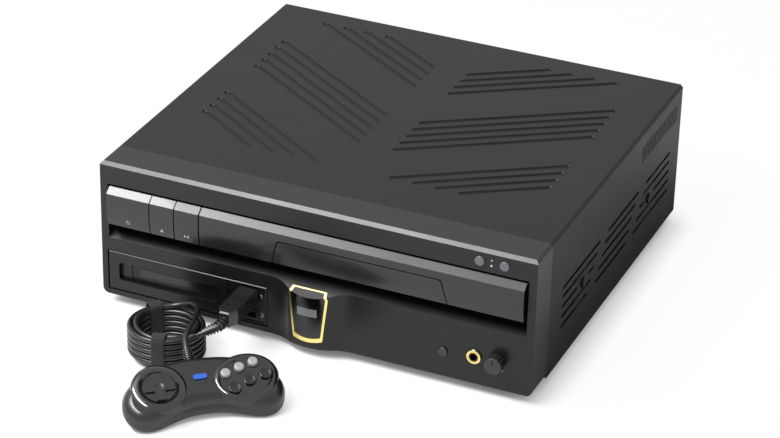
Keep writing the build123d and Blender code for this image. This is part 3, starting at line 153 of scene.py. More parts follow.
paper = bpy.data.materials.new("white_paper_backdrop")
paper.use_nodes = True
tree = paper.node_tree
tree.nodes.clear()
ray = add(tree, "LightPath").outputs
matt = add(tree, "BsdfDiffuse", {"Color": linear(PAPER_MATT)})
glow = add(tree, "Emission", {"Color": linear(PAPER_GLOW), "Strength": 1.0})
# Painted shadow: ambient occlusion takes the paper's own light away close under things.
shut = add(tree, "AmbientOcclusion", {"Distance": SHUT_IN * MM}, samples=8)
in_the_open = add(tree, "Math", {1: GLOW_SHARE}, {0: shut.outputs["AO"]}, operation="MULTIPLY")
share = add(tree, "Math", links={0: ray["Is Camera Ray"], 1: in_the_open.outputs[0]}, operation="MULTIPLY")
both = add(tree, "MixShader", links={0: share.outputs[0], 1: matt.outputs[0], 2: glow.outputs[0]})
add(tree, "OutputMaterial", links={"Surface": both.outputs[0]})

mesh = bpy.data.meshes.new("floor")
corners = [(x * PAPER_HALF, y * PAPER_HALF, 0) for x, y in ((-1, -1), (1, -1), (1, 1), (-1, 1))]
mesh.from_pydata(corners, [], [(0, 1, 2, 3)])
mesh.materials.append(paper)
floor = bpy.data.objects.new("floor", mesh)
scene.collection.objects.link(floor)
print("paper side:", 2 * PAPER_HALF, "m")

# %% [markdown]
# A photographer lights black plastic with large boxes, because the eye reads its
# form from the bands that they draw on it. A sun lamp would only give small hard
# glints. So one wide lamp hangs above, a little to the left and in front, and a
# narrow, brighter strip further to the front draws the bands on the chamfers and
# ledges that slope up towards it.


# %% Lamps
def lamp(name, place, target, size, strength):
    """A rectangular soft lamp, in metres; its strength is its brightness against white paper."""
    light = bpy.data.lights.new(name, "AREA")
    light.shape = "RECTANGLE"
    light.size, light.size_y = size
    light.energy = strength * math.pi * size[0] * size[1]
    lamp_object = bpy.data.objects.new(name, light)
    lamp_object.location = place
    aim = Vector(target) - Vector(place)
    lamp_object.rotation_euler = aim.to_track_quat("-Z", "Y").to_euler()
    scene.collection.objects.link(lamp_object)


lamp("overhead_softbox", place=(-0.75, -0.55, 1.6), target=(-0.15, -0.15, 0.05),
     size=(1.3, 1.1), strength=2.2)
lamp("strip_over_the_front", place=(-0.62, -0.98, 1.5), target=(0, -0.19, 0.1),
     size=(1.5, 0.34), strength=32.0)

# %% [markdown]
# Most of this object is moulded ABS in near black. A real moulding is never one
# flat colour: its surface has a fine spark-eroded grain, and the gloss drifts a
# little over a hand's breadth. Painted maps could show that, but they need
# unwrapped meshes. So each finish has a fine noise, used as bump, and a broad
# noise that varies its roughness, both worked out in the piece's own space. The
# grain of a real moulding is about 0.1 mm, which a picture of this size can't
# show, so it is drawn at about 0.5 to 0.9 mm.

# %% A finish with grain
GRAIN_STRENGTH = 0.5
DRIFT_WIDTH = 60.0       # a hand's breadth, in millimetres


def finish(name, colour, roughness, metallic=0.0, ior=None, grain=0.6, depth=0.02, drift=0.06,
           shade=None, coat=0.0, level=None):
    """A principled finish: grain as bump, broad drift in gloss, and a slight drift in shade."""
    made = bpy.data.materials.new(name)
    made.use_nodes = True
    tree = made.node_tree
    shader = tree.nodes["Principled BSDF"]
    shader.inputs["Base Color"].default_value = linear(colour)
    shader.inputs["Metallic"].default_value = metallic
    shader.inputs["Roughness"].default_value = roughness
    shader.inputs["Coat Weight"].default_value = coat
    if level is not None:
        shader.inputs["Specular IOR Level"].default_value = level
    if ior and not metallic:
        shader.inputs["IOR"].default_value = ior
    here = add(tree, "TexCoord").outputs["Object"]
    fine = add(tree, "TexNoise", {"Scale": per_mm(grain), "Detail": 2.0}, {"Vector": here})
    bump = add(tree, "Bump", {"Strength": GRAIN_STRENGTH, "Distance": depth * MM},
               {"Height": fine.outputs["Fac"]})
    tree.links.new(bump.outputs[0], shader.inputs["Normal"])
    broad = add(tree, "TexNoise", {"Scale": per_mm(DRIFT_WIDTH), "Detail": 3.0}, {"Vector": here})
    gloss = add(tree, "MapRange", {"To Min": roughness - drift, "To Max": roughness + drift},
                {"Value": broad.outputs["Fac"]})
    tree.links.new(gloss.outputs[0], shader.inputs["Roughness"])
    if shade:
        mix = add(tree, "Mix", {6: linear(colour), 7: linear(shade)}, {0: broad.outputs["Fac"]},
                  data_type="RGBA")
        tree.links.new(mix.outputs[2], shader.inputs["Base Color"])
    return made


print("gloss drifts over", DRIFT_WIDTH, "mm")

# %% [markdown]
# The player's skin is three near blacks that only their sheen tells apart: baked
# enamel on the folded steel cover, plain ABS on the bezel, and lacquered ABS on
# what moves. One black for all would melt them together. The trays, the frame
# and the gear behind them are left in the plain colours of their plastics.

# %% Casing, keys and trays
# Vinyl-textured enamel baked on folded steel: dark, with broad soft highlights.
enamel = finish("baked_enamel_on_steel", "#131314", 0.4, ior=1.5, grain=0.7, depth=0.04,
                shade="#171718", level=0.16)
# ABS from a finely eroded tool: nearly black, with a soft sheen along its edges.
bezel_abs = finish("moulded_abs_black", "#0c0c0d", 0.3, ior=1.52, grain=0.6, depth=0.015,
                   shade="#101011", level=0.3)
# ABS under a dark metallic lacquer: a shade greyer, with clearer bands of light.
lacquered_abs = finish("lacquered_abs_graphite", "#101112", 0.26, ior=1.55, grain=0.5, depth=0.002,
                       coat=0.15, shade="#151617", drift=0.04, level=0.36)
# Plain dark ABS of the trays: greyer and duller than anything in front.
tray_abs = finish("moulded_abs_tray", "#26282a", 0.42, ior=1.52, grain=0.8, depth=0.03,
                  shade="#2c2e30")
# Grey ABS of the mechanism: light, matt and a little coarse.
frame_abs = finish("moulded_abs_grey", "#55585a", 0.5, ior=1.52, grain=0.8, depth=0.03,
                   shade="#5d6062")
# Acetal in its natural colour: an ivory white with a waxy gloss.
acetal = finish("acetal_gear_natural", "#e4e0d4", 0.38, ior=1.48, grain=0.9, depth=0.01,
                shade="#dcd7c8")
# ABS of sockets, inlet, ports and knob: a plain dark satin.
socket_abs = finish("moulded_abs_sockets", "#151515", 0.4, ior=1.52, grain=0.5, depth=0.01,
                    shade="#1b1b1b")
# Smoke grey ABS of the two small buttons: a mid grey that stands off the black.
button_grey = finish("smoke_grey_abs_buttons", "#55575a", 0.3, ior=1.53, grain=0.5, depth=0.006,
                     shade="#4c4e51")
print("first finishes:", len(bpy.data.materials))

# %% [markdown]
# The metals are told apart by colour and gloss. A metal takes its colour from
# what it mirrors, so each gets its tint as base colour, full metallic and the
# default IOR, and its grain is kept shallow, because a metal shows every dent.

# %% Metals
# Zinc-plated steel sheet: pale, with a bloom in its gloss.
zinc = finish("zinc_plated_steel", "#b9bdc0", 0.34, metallic=1.0, grain=1.6, depth=0.01,
              shade="#a4a8ab", drift=0.1)
# Pale gold anodised aluminium: a thin bright line round the shield.
gold = finish("pale_gold_anodised_aluminium", "#f2e090", 0.24, metallic=1.0, grain=0.5, depth=0.006,
              shade="#e2cf86", drift=0.05)
# Brushed aluminium, its lines too fine to show: a flat grey with a soft glint.
plate_metal = finish("brushed_aluminium_plate", "#8d9094", 0.4, metallic=1.0, grain=0.4, depth=0.01,
                     shade="#7c7f83")
# Transformer iron under brown varnish: half metal, half lacquer to the eye.
laminations = finish("varnished_transformer_iron", "#3d3633", 0.5, metallic=0.7, grain=0.9,
                     depth=0.08, shade="#4a4039")
# Ground steel of the rods and the turntable: the brightest and smoothest metal.
steel = finish("ground_steel_rod", "#c9cccf", 0.22, metallic=1.0, grain=0.4, depth=0.004,
               shade="#babdc0")
print("finishes with the metals:", len(bpy.data.materials))

# %% [markdown]
# A few small pieces need finishes of their own. The dark lenses could be glass
# with something behind it, but these are so dark that a smooth black surface
# looks the same and renders faster.

# %% Lenses, boards and feet
# Smoked acrylic: a black mirror with almost no grain.
acrylic = finish("smoked_acrylic_lens", "#050505", 0.07, ior=1.49, grain=1.2, depth=0.002, drift=0.03)
# The red lens of a lamp that is off: nearly black.
lamp_lens = finish("dark_red_lamp_lens", "#2a0806", 0.15, ior=1.49, grain=0.8, depth=0.003)
# Glass epoxy under a green solder mask: a satin green, a little blotchy.
board_resin = finish("glass_epoxy_board", "#1f5a38", 0.4, ior=1.55, grain=2.0, depth=0.03,
                     shade="#17492d")
# Moulded rubber: the dullest black here, with no clear highlight.
foot_rubber = finish("moulded_rubber_foot", "#1a1a1a", 0.75, ior=1.5, grain=0.8, depth=0.04,
                     shade="#202020")
print("finishes with the small pieces:", len(bpy.data.materials))

# %% [markdown]
# The controller is handled all day, so its shells are finely textured, and its
# buttons are smooth where a thumb rests. The cord and plug are soft PVC, duller
# than ABS. All are the same kind of finish as the player's, with the gloss set
# apart: that is what tells the pieces of one colour from each other.

# %% Controller, buttons and cord
# Gloss black ABS of three round buttons: small sharp highlights.
key_black = finish("gloss_black_abs_buttons", "#0a0a0b", 0.16, ior=1.53, grain=0.6, depth=0.004,
                   drift=0.04)
# Light grey ABS of the other three: the palest plastic on the controller.
key_grey = finish("light_grey_abs_buttons", "#8e9092", 0.3, ior=1.53, grain=0.5, depth=0.006,
                  shade="#86888a")
# Blue ABS of the start key: the one strong colour.
start_blue = finish("blue_abs_start_key", "#2455ad", 0.28, ior=1.53, grain=0.5, depth=0.006,
                    shade="#1f4c9e")
# Finely textured ABS of the shells: deep black with soft, wide highlights.
pad_abs = finish("fine_textured_abs_controller", "#0e0e0f", 0.32, ior=1.52, grain=0.5, depth=0.02,
                 shade="#121213")
# Extruded PVC of the cord: black, with a thin dull line of light along it.
jacket = finish("pvc_cord_jacket", "#0b0b0c", 0.34, ior=1.53, grain=0.9, depth=0.02, shade="#1a1a1b")
# PVC moulded over the plug and the boot: like the cord, with a deeper grain.
plug_pvc = finish("moulded_pvc_plug", "#0f0f10", 0.36, ior=1.53, grain=0.6, depth=0.03,
                  shade="#1e1f20")
print("finishes with the controller:", len(bpy.data.materials))

# %% [markdown]
# Two mouldings show two finishes in one piece. The faces could be split between
# two materials, but the CAD meshes stay as they are, and an edge between faces
# isn't always where the finish changes. So the shader measures its own place,
# and changes the finish's values where the measure passes a limit.


# %% A finish that changes with place
def masked(made, values, softness, ramp):
    """Change a finish's plain values where a measure of place passes a limit; ramp builds the measure."""
    tree = made.node_tree
    shader = tree.nodes["Principled BSDF"]
    measure, limit = ramp(tree)
    share = add(tree, "MapRange", {"From Min": limit - softness, "From Max": limit + softness},
                {"Value": measure})
    for socket, value in values.items():
        old = shader.inputs[socket].links[0].from_socket if shader.inputs[socket].links else None
        if isinstance(value, str):
            mix = add(tree, "Mix", {6: shader.inputs[socket].default_value, 7: linear(value)},
                      {0: share.outputs[0]}, data_type="RGBA")
            if old:
                tree.links.new(old, mix.inputs[6])
            tree.links.new(mix.outputs[2], shader.inputs[socket])
        else:
            mix = add(tree, "Mix", {2: shader.inputs[socket].default_value, 3: value},
                      {0: share.outputs[0]})
            if old:
                tree.links.new(old, mix.inputs[2])
            tree.links.new(mix.outputs[0], shader.inputs[socket])
    print(made.name, "changes", sorted(values))


# %% [markdown]
# The controller's top shell is textured, but the rims round its dish and its
# buttons are polished in the tool, so they catch a thin line of light. The rims
# stand over the top face. The controller lies turned and tilted, so their height
# is measured along the face's own normal.

# %% Polished rims on the controller
PAD_ORIGIN = Vector((-43.2, -318.1, 30.4))   # a point on the top face, millimetres
PAD_TURN, PAD_TILT = math.radians(40), math.radians(25)
PAD_NORMAL = Vector((math.sin(PAD_TURN) * math.sin(PAD_TILT),
                     -math.cos(PAD_TURN) * math.sin(PAD_TILT), math.cos(PAD_TILT)))
RIM_FOOT, RIM_SOFTNESS = 0.25, 0.15          # where the polish starts over the face, and over how much


def over_pad(tree):
    """Height over the top face, and the height at which a rim starts."""
    here = add(tree, "TexCoord").outputs["Object"]
    along = add(tree, "VectorMath", {1: PAD_NORMAL}, {0: here}, operation="DOT_PRODUCT")
    return along.outputs["Value"], (PAD_ORIGIN.dot(PAD_NORMAL) + RIM_FOOT) * MM


pad_top_abs = finish("textured_abs_with_polished_rims", "#0e0e0f", 0.32, ior=1.52, grain=0.5,
                     depth=0.02, shade="#121213")
masked(pad_top_abs, {"Roughness": 0.1, "Coat Weight": 0.5}, RIM_SOFTNESS * MM, over_pad)

# %% [markdown]
# The headphone jack is a black collar with a gilt contact ring inside it. Both
# are one solid here, so the ring is found by its distance from the jack's axis.

# %% Gilt ring in the jack
JACK_X, JACK_Z = 155.2, 37.6
GILT_MIDDLE, GILT_HALF = 5.5, 0.95           # the ring's mean radius and half its width
GILT_SOFTNESS = 0.1


def on_gilt_ring(tree):
    """How near the ring's middle a point is, as a measure that rises towards it."""
    here = add(tree, "TexCoord").outputs["Object"]
    flat = add(tree, "VectorMath", {0: (1, 0, 1)}, {1: here}, operation="MULTIPLY")
    away = add(tree, "VectorMath", {1: (JACK_X * MM, 0, JACK_Z * MM)}, {0: flat.outputs[0]},
               operation="DISTANCE")
    off = add(tree, "Math", {1: GILT_MIDDLE * MM}, {0: away.outputs["Value"]}, operation="SUBTRACT")
    off = add(tree, "Math", links={0: off.outputs[0]}, operation="ABSOLUTE")
    near = add(tree, "Math", {1: -1.0}, {0: off.outputs[0]}, operation="MULTIPLY")
    return near.outputs[0], -GILT_HALF * MM


jack_finish = finish("black_collar_with_gilt_ring", "#0a0a0b", 0.22, ior=1.53, grain=0.5, depth=0.004)
masked(jack_finish, {"Base Color": "#f0d884", "Metallic": 1.0}, GILT_SOFTNESS * MM, on_gilt_ring)

# %% [markdown]
# The CAD nodes whose shape is already right keep their meshes and only take a
# finish. Each could be given its own in turn, but a table that pairs each finish
# with the nodes that have it can be read at a glance.

# %% Finishes on the CAD nodes
wearing = {
    enamel: ["top_cover", "rear_panel", "side_screws"],
    bezel_abs: ["front_bezel", "pack_face", "cartridge_door", "pack_case"],
    lacquered_abs: ["power_key", "release_key", "play_key", "wide_drawer_front", "small_drawer_front"],
    tray_abs: ["wide_drawer", "small_drawer"],
    frame_abs: ["mechanism_frame", "lift_deck", "pickup_sled"],
    acetal: ["drawer_gear", "disc_clamp"],
    zinc: ["bottom_pan", "clamp_bridge", "pack_bay", "loading_motor", "disc_motor"],
    gold: ["shield_frame"],
    acrylic: ["shield_lens"],
    plate_metal: ["shield_plate"],
    board_resin: ["main_board", "power_board", "front_boards"],
    foot_rubber: ["feet"],
    socket_abs: ["rear_sockets", "mains_inlet", "level_knob", "controller_ports"],
    jack_finish: ["phones_jack"],
    pad_top_abs: ["pad_top_shell"],
    laminations: ["power_transformer"],
    key_black: ["pad_button_a", "pad_button_b", "pad_button_c"],
    key_grey: ["pad_button_x", "pad_button_y", "pad_button_z"],
    button_grey: ["wide_drawer_button", "small_drawer_button"],
    start_blue: ["pad_start"],
    pad_abs: ["pad_bottom_shell", "pad_direction", "pad_pivot"],
    plug_pvc: ["controller_plug", "pad_boot", "memory_button"],
    lamp_lens: ["indicator_lamps"],
    steel: ["pickup_rods", "turntable"],
}
for made, names in wearing.items():
    for name in names:
        nodes[name].data.materials.clear()
        nodes[name].data.materials.append(made)
print("nodes with a finish:", sum(len(names) for names in wearing.values()))

# %% [markdown]
# The controller's cord is one length of 5 mm PVC, 2.1 m long. From the plug's
# strain relief it runs into a coil that two woven ties hold: down the outside in
# a little over five turns, across at the foot, and up the inside. Then it loops
# over the coil and into the controller. The coil's turns are worked out, and the
# points between are listed. They could be joined by straight tubes, but a
# real cord has no corners, so one NURBS curve runs smoothly inside them. A
# control point on a circle therefore stands a little outside it, by one over the
# cosine of half a step.

# %% The coil
CORD = 5.0
COIL_X, COIL_Y = -114.7, -247.5
COIL_OUTER, COIL_INNER, COIL_PITCH = 32.5, 27.0, 5.5    # radii of the two layers, and a turn's rise
COIL_FLOOR = 3.6
COIL_START = -43.0       # degrees
OUTER_TURNS, ALL_TURNS = 5.25, 10.5417
CROSSING = 0.25          # the part of a turn in which the cord moves to the inner layer
COIL_STEP, STEP_TURN = 0.9, 0.75        # the inner layer's extra height, and the turn in which it comes
PER_TURN = 16


def coil_point(turn):
    """A control point of the coil, some turns on from its start at the top outside."""
    angle = math.radians(COIL_START - 360 * turn)
    top = COIL_FLOOR + COIL_PITCH * OUTER_TURNS
    across = min(max((turn - OUTER_TURNS + CROSSING) / CROSSING, 0), 1)
    radius = COIL_OUTER + (COIL_INNER - COIL_OUTER) * across
    climbed = turn - OUTER_TURNS
    height = top - COIL_PITCH * turn
    if climbed > 0:
        height = COIL_FLOOR + COIL_PITCH * climbed + COIL_STEP * min(climbed / STEP_TURN, 1)
    out = radius / math.cos(math.pi / PER_TURN)
    return (COIL_X + out * math.cos(angle), COIL_Y + out * math.sin(angle), height)


steps = round(ALL_TURNS * PER_TURN)
coil = [coil_point(ALL_TURNS * i / steps) for i in range(steps + 1)]
print("coil:", round(ALL_TURNS, 1), "turns in", len(coil), "control points")

# %% The cord
BOOT_END, COIL_RUN = (-74.101, -256.160, 37.465), (-84.796, -263.086, 32.767)
LOOP_OUT = ((-118.837, -218.247, 33.993), (-104.5, -218.0, 40.0), (-92.5, -228.5, 44.0),
            (-86.0, -246.0, 45.5), (-82.0, -262.0, 46.0), (-79.968, -281.282, 44.642))
PAD_EXIT = (-72.977, -289.614, 39.571)

route = [BOOT_END, COIL_RUN, *coil, *LOOP_OUT, PAD_EXIT]
line = bpy.data.curves.new("controller_cord", "CURVE")
line.dimensions = "3D"
line.bevel_depth = CORD / 2 * MM
line.bevel_resolution = 5
line.resolution_u = 4
line.use_fill_caps = True
spline = line.splines.new("NURBS")
spline.points.add(len(route) - 1)
for point, place in zip(spline.points, reversed(route)):
    point.co = [c * MM for c in place] + [1]
spline.order_u = 3
spline.use_endpoint_u = True
line.materials.append(jacket)
cord = bpy.data.objects.new("controller_cord", line)
scene.collection.objects.link(cord)
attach(cord, "pack")
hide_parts("cord_plug_side", "cord_coil", "cord_controller_side")
print("cord control points:", len(route))

# %% [markdown]
# The ties are woven nylon straps. A weave is warp threads along the strap and
# weft threads across it, so two wave patterns multiplied give its bumps, and the
# same product paints shade into its colour: darker in the hollows between the
# threads, lighter on their crests. They could follow the object's space, but then
# they would slide off at the bends. So they follow UV coordinates that count
# millimetres along the strap.
# The eye sees a dull cloth with no clear highlight.

# %% Woven strap finish
WARP, WEFT = 1.3, 0.9    # thread spacing in mm, about twice the real one so that it shows
THREAD_RISE = 0.25       # how far a thread stands up, in millimetres
# Colours for the weave's hollows and crests: painted shade in the hollows, painted light on the crests.
WEAVE_PAINTED_SHADE, WEAVE_PAINTED_LIGHT = "#040405", "#121214"

strap = finish("woven_nylon_strap", "#0d0d0e", 0.8, ior=1.53, grain=0.5, depth=0.02)
tree = strap.node_tree
shader = tree.nodes["Principled BSDF"]
shader.inputs["Sheen Weight"].default_value = 0.08
shader.inputs["Sheen Roughness"].default_value = 0.4
uv = add(tree, "TexCoord").outputs["UV"]
warp = add(tree, "TexWave", {"Scale": 0.5 / WARP, "Distortion": 0.3, "Detail": 1.0}, {"Vector": uv},
           bands_direction="Y", wave_profile="SIN")
weft = add(tree, "TexWave", {"Scale": 0.5 / WEFT, "Distortion": 0.3, "Detail": 1.0}, {"Vector": uv},
           bands_direction="X", wave_profile="SIN")
weave = add(tree, "Math", links={0: warp.outputs["Fac"], 1: weft.outputs["Fac"]}, operation="MULTIPLY")
bump = add(tree, "Bump", {"Strength": 0.9, "Distance": THREAD_RISE * MM}, {"Height": weave.outputs[0]})
tree.links.new(bump.outputs[0], shader.inputs["Normal"])
# The weave's height also sets its colour, which paints shade into the hollows between the threads.
mix = add(tree, "Mix", {6: linear(WEAVE_PAINTED_SHADE), 7: linear(WEAVE_PAINTED_LIGHT)}, {0: weave.outputs[0]},
          data_type="RGBA")
tree.links.new(mix.outputs[2], shader.inputs["Base Color"])
print("threads every", WARP, "and", WEFT, "mm")

# %% [markdown]
# Each tie is 12 mm wide and wrapped once round both layers of the coil, with its
# end laid over itself on the outside. Cloth simulation could drape it, but a
# strap pulled tight has no folds to find. So it is a band: a rounded loop in the
# coil's radial plane, with points at even steps, drawn across the strap's width.

# %% The way round the coil
TIE_WIDTH, TIE_THICK = 12.0, 0.8
TIE_INSIDE, TIE_OUTSIDE = 23.6, 35.3    # radii of the loop's upright runs
TIE_TOP, TIE_CORNER = 36.9, 3.4         # its height, and the radius of its corners
CORNER_STEPS = 8
LAP_GAP = 0.15                          # between the strap and the end laid over it
LAP = slice(5, 12)                      # the points of the loop that the end lies over
STRAP_STEP = 0.9                        # between the points along the strap


def tie_loop():
    """Points of the loop in the radial plane, as (radius, height), from the foot outside."""
    low, outer, inner = TIE_THICK + TIE_CORNER, TIE_OUTSIDE - TIE_CORNER, TIE_INSIDE + TIE_CORNER
    high = TIE_TOP - TIE_CORNER
    points = []
    for middle, height, start in ((outer, low, -90), (outer, high, 0), (inner, high, 90), (inner, low, 180)):
        for i in range(CORNER_STEPS + 1):
            angle = math.radians(start + 90 * i / CORNER_STEPS)
            points.append((middle + TIE_CORNER * math.cos(angle), height + TIE_CORNER * math.sin(angle)))
    return points


def resample(points, step):
    """The same line with points a step apart."""
    out, carried = [Vector(points[0])], 0.0
    for before, after in zip(points, points[1:]):
        near, far = Vector(before), Vector(after)
        run = (far - near).length
        while carried + run >= step:
            near = near + (far - near) * ((step - carried) / run)
            run, carried = (far - near).length, 0.0
            out.append(near.copy())
        carried += run
    return out


loop = tie_loop()
lap = [(radius + TIE_THICK + LAP_GAP, height) for radius, height in loop[LAP]]
strap_way = resample(loop + [loop[0]] + lap, STRAP_STEP)
print("strap length", round(STRAP_STEP * len(strap_way), 1), "mm")

# %% [markdown]
# Across its width the strap is a little crowned, and its edges wave slightly, as
# woven tape does when it is pulled. Each point of the way round becomes a row of
# points across the strap, the rows are joined by faces, and a Solidify modifier
# gives the band its thickness.

# %% The ties
ACROSS = 9                              # points across the strap
CROWN, WAVE, WAVE_STEP = 0.12, 0.18, 0.9     # millimetres, and radians from row to row
BETWEEN_LAYERS = 29                     # a radius that tells the strap's inside run from its outside


def band(name, angle):
    """The strap's mesh at an angle round the coil."""
    turn = Matrix.Rotation(math.radians(angle), 4, "Z")
    centre = Vector((COIL_X, COIL_Y, 0))
    mesh = bmesh.new()
    layer = mesh.loops.layers.uv.new("strap")
    rows = []
    for i, (radius, height) in enumerate(strap_way):
        row = []
        for j in range(ACROSS):
            across = (j / (ACROSS - 1) - 0.5) * TIE_WIDTH
            to_edge = (2 * across / TIE_WIDTH) ** 2
            wave = WAVE * math.sin(i * WAVE_STEP + (0 if across > 0 else 2)) * to_edge
            crown = CROWN * (1 - to_edge) * (1 if radius > BETWEEN_LAYERS else -1)
            place = turn @ Vector((radius + crown, across + wave, height)) + centre
            row.append(mesh.verts.new(place * MM))
        rows.append(row)
    for i in range(len(rows) - 1):
        for j in range(ACROSS - 1):
            face = mesh.faces.new((rows[i][j], rows[i][j + 1], rows[i + 1][j + 1], rows[i + 1][j]))
            for corner, (u, v) in zip(face.loops, ((i, j), (i, j + 1), (i + 1, j + 1), (i + 1, j))):
                corner[layer].uv = (u * STRAP_STEP, v * TIE_WIDTH / (ACROSS - 1))
            face.smooth = True
    data = bpy.data.meshes.new(name)
    mesh.to_mesh(data)
    mesh.free()
    return data


def make_tie(name, angle):
    """One strap at an angle round the coil."""
    data = band(name, angle)
    data.materials.append(strap)
    tie = bpy.data.objects.new(name, data)
    scene.collection.objects.link(tie)
    thick = tie.modifiers.new("thickness", "SOLIDIFY")
    thick.thickness = TIE_THICK * MM
    thick.offset = 0.0
    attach(tie, "pack")
    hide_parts("cord_ties")
    return tie


ties = [make_tie("tie_front", -75.0), make_tie("tie_back", 138.0)]
print("ties:", [tie.name for tie in ties])

# %% [markdown]
# The printed marks are pad printed: a thin even ink on the finished moulding.
# They could be a texture, but drawn as flat shapes they stay sharp at any size.
# Each lies 0.05 mm proud of its surface and rides on the body that wears it. The
# keys are bowed, so the height of a point gives how far back it lies.

# %% Ink and surfaces
PROUD = 0.05             # how far a mark stands off its surface
BEZEL_Y, PANEL_Y, DOOR_Y = -190.0, -189.0, -185.3
KEY_BOW = ((116.5, -195.5), (101.0, -195.9), (85.6, -193.9))   # height and y at three points of a key

# Grey ink: a dull light line. Black film: a smooth strip, darker than its moulding.
white_ink = finish("screen_print_light_grey", "#b9bcbe", 0.5, ior=1.5, grain=0.3, depth=0.004,
                   shade="#afb2b4")
black_film = finish("black_printed_film", "#060607", 0.22, ior=1.5, grain=0.4, depth=0.003,
                    shade="#0a0a0b")


def bowed(z):
    """The y of a key's front at a height, on the parabola through three points of it."""
    total = 0.0
    for i, (zi, yi) in enumerate(KEY_BOW):
        share = 1.0
        for j, (zj, _) in enumerate(KEY_BOW):
            if i != j:
                share *= (z - zj) / (zi - zj)
        total += yi * share
    return total


def mark(name, polygons, surface, body, ink):
    """Flat shapes in x and z on a surface, which is a fixed y or a function of height."""
    mesh = bmesh.new()
    for polygon in polygons:
        corners = []
        for x, z in polygon:
            y = surface(z) if callable(surface) else surface
            corners.append(mesh.verts.new((x * MM, (y - PROUD) * MM, z * MM)))
        face = mesh.faces.new(corners)
        face.normal_update()
        if face.normal.y > 0:
            face.normal_flip()
    data = bpy.data.meshes.new(name)
    mesh.to_mesh(data)
    mesh.free()
    data.materials.append(ink)
    made = bpy.data.objects.new(name, data)
    scene.collection.objects.link(made)
    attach(made, body)
    return made


print("a key's front at 92 mm lies at y", round(bowed(92), 2))

# %% [markdown]
# Every mark is built from a few strokes, arcs and plain shapes, as a sign painter
# would. A font could set the numbers, but these two are simple enough to draw,
# and then they have the even stroke of the photograph's.


# %% Strokes and shapes
def bar(x0, z0, x1, z1, width):
    """A straight stroke between two points."""
    long = math.hypot(x1 - x0, z1 - z0)
    sx, sz = -(z1 - z0) / long * width / 2, (x1 - x0) / long * width / 2
    return [(x0 + sx, z0 + sz), (x1 + sx, z1 + sz), (x1 - sx, z1 - sz), (x0 - sx, z0 - sz)]


def stroke(points, width):
    """A line of several strokes."""
    return [bar(*a, *b, width) for a, b in zip(points, points[1:])]


def arc(x, z, radius, start, end, count=12):
    """Points on an arc, its angles in degrees from the right."""
    turns = [math.radians(start + (end - start) * i / count) for i in range(count + 1)]
    return [(x + radius * math.cos(t), z + radius * math.sin(t)) for t in turns]


def block(left, foot, width, height):
    """An upright rectangle from its lower left corner."""
    return [(left, foot), (left + width, foot), (left + width, foot + height), (left, foot + height)]


def upward(middle, foot, width, height):
    """A triangle that points up, from the middle of its foot."""
    return [(middle - width / 2, foot), (middle + width / 2, foot), (middle, foot + height)]


print("a stroke has", len(bar(0, 0, 1, 0, 0.5)), "corners")

# %% [markdown]
# The marks are two numbers beside the ports, a plain label strip on the cartridge
# door, a scale at the knob, a triangle and a square between the upper buttons,
# and one sign on each key: mains, open, and play with pause. All sizes are in
# millimetres.

# %% Marks on the pack and the bezel
NUMBER_WIDTH = 0.55                     # of a stroke
ONE_X, ONE_TOP, ONE_HEIGHT = -49.8, 46.9, 3.7
TWO_X, TWO_BOW, TWO_FOOT = -49.3, 26.6, 24.0      # its bow's middle, and the height of its foot
LABEL_LEFT, LABEL_FOOT, LABEL_WIDTH, LABEL_HEIGHT = -173.7, 33.5, 69.9, 6.9
BUTTON_X = 167.8                        # the middle of the upper buttons' signs
KNOB_X, KNOB_Z, KNOB_TURN = 176.7, 38.7, 150      # the turn in degrees each way
SCALE_NEAR, SCALE_FAR, SCALE_WIDTH = 9.6, 11.4, 0.5

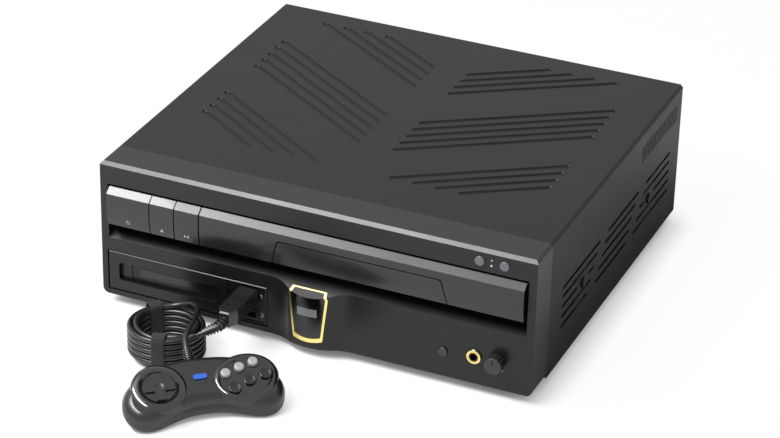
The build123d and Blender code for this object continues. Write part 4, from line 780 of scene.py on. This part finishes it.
one = stroke([(ONE_X - 1.1, ONE_TOP - 0.9), (ONE_X, ONE_TOP), (ONE_X, ONE_TOP - ONE_HEIGHT)], NUMBER_WIDTH)
two = stroke(arc(TWO_X, TWO_BOW, 1.1, 170, -35, 8) + [(TWO_X - 1.2, TWO_FOOT), (TWO_X + 1.2, TWO_FOOT)],
             NUMBER_WIDTH)
label = block(LABEL_LEFT, LABEL_FOOT, LABEL_WIDTH, LABEL_HEIGHT)
signs = [upward(BUTTON_X, 135.5, 2.2, 1.6), block(BUTTON_X - 1.0, 130.0, 1.9, 1.7)]
scale = []
for turn in (-KNOB_TURN, KNOB_TURN):
    way = math.radians(90 - turn)
    ends = [(KNOB_X + far * math.cos(way), KNOB_Z + far * math.sin(way)) for far in (SCALE_NEAR, SCALE_FAR)]
    scale.append(bar(*ends[0], *ends[1], SCALE_WIDTH))
marks = [mark("port_numbers", one + two, PANEL_Y, "pack", white_ink),
         mark("door_label", [label], DOOR_Y, "pack_door", black_film),
         mark("button_signs", signs, BEZEL_Y, "player", white_ink),
         mark("level_scale", scale, BEZEL_Y, "player", white_ink)]
print("marks:", [made.name for made in marks])

# %% Signs of the keys
SIGN_FOOT = 90.2
MAINS_X, MAINS_Z, MAINS_RADIUS, MAINS_WIDTH = -180.0, 91.5, 1.6, 0.4
OPEN_X, OPEN_WIDTH, OPEN_BAR = -145.8, 2.8, 0.6
PLAY_LEFT, PLAY_WIDTH, PLAY_HEIGHT = -123.4, 2.0, 2.8
PAUSE_LEFT, PAUSE_STEP, PAUSE_BAR = -120.4, 1.1, 0.5

mains = stroke(arc(MAINS_X, MAINS_Z, MAINS_RADIUS, 125, 415, 16), MAINS_WIDTH)
mains.append(bar(MAINS_X, MAINS_Z + 0.5, MAINS_X, MAINS_Z + 2.3, MAINS_WIDTH))
opening = [upward(OPEN_X, SIGN_FOOT + 1.2, OPEN_WIDTH, 1.8),
           block(OPEN_X - OPEN_WIDTH / 2, SIGN_FOOT, OPEN_WIDTH, OPEN_BAR)]
forward = [(PLAY_LEFT, SIGN_FOOT), (PLAY_LEFT + PLAY_WIDTH, SIGN_FOOT + PLAY_HEIGHT / 2),
           (PLAY_LEFT, SIGN_FOOT + PLAY_HEIGHT)]
pause = [block(PAUSE_LEFT + PAUSE_STEP * i, SIGN_FOOT, PAUSE_BAR, PLAY_HEIGHT) for i in range(2)]
marks += [mark("mains_sign", mains, bowed, "power_key", white_ink),
          mark("open_sign", opening, bowed, "release_key", white_ink),
          mark("play_sign", [forward, *pause], bowed, "play_key", white_ink)]
print("printed marks:", len(marks))

# %% [markdown]
# Last, the scene is brought up to date, and its colours are shown with the plain
# standard view transform.

# %% Update and view
bpy.context.view_layer.update()
scene.view_settings.view_transform = "Standard"
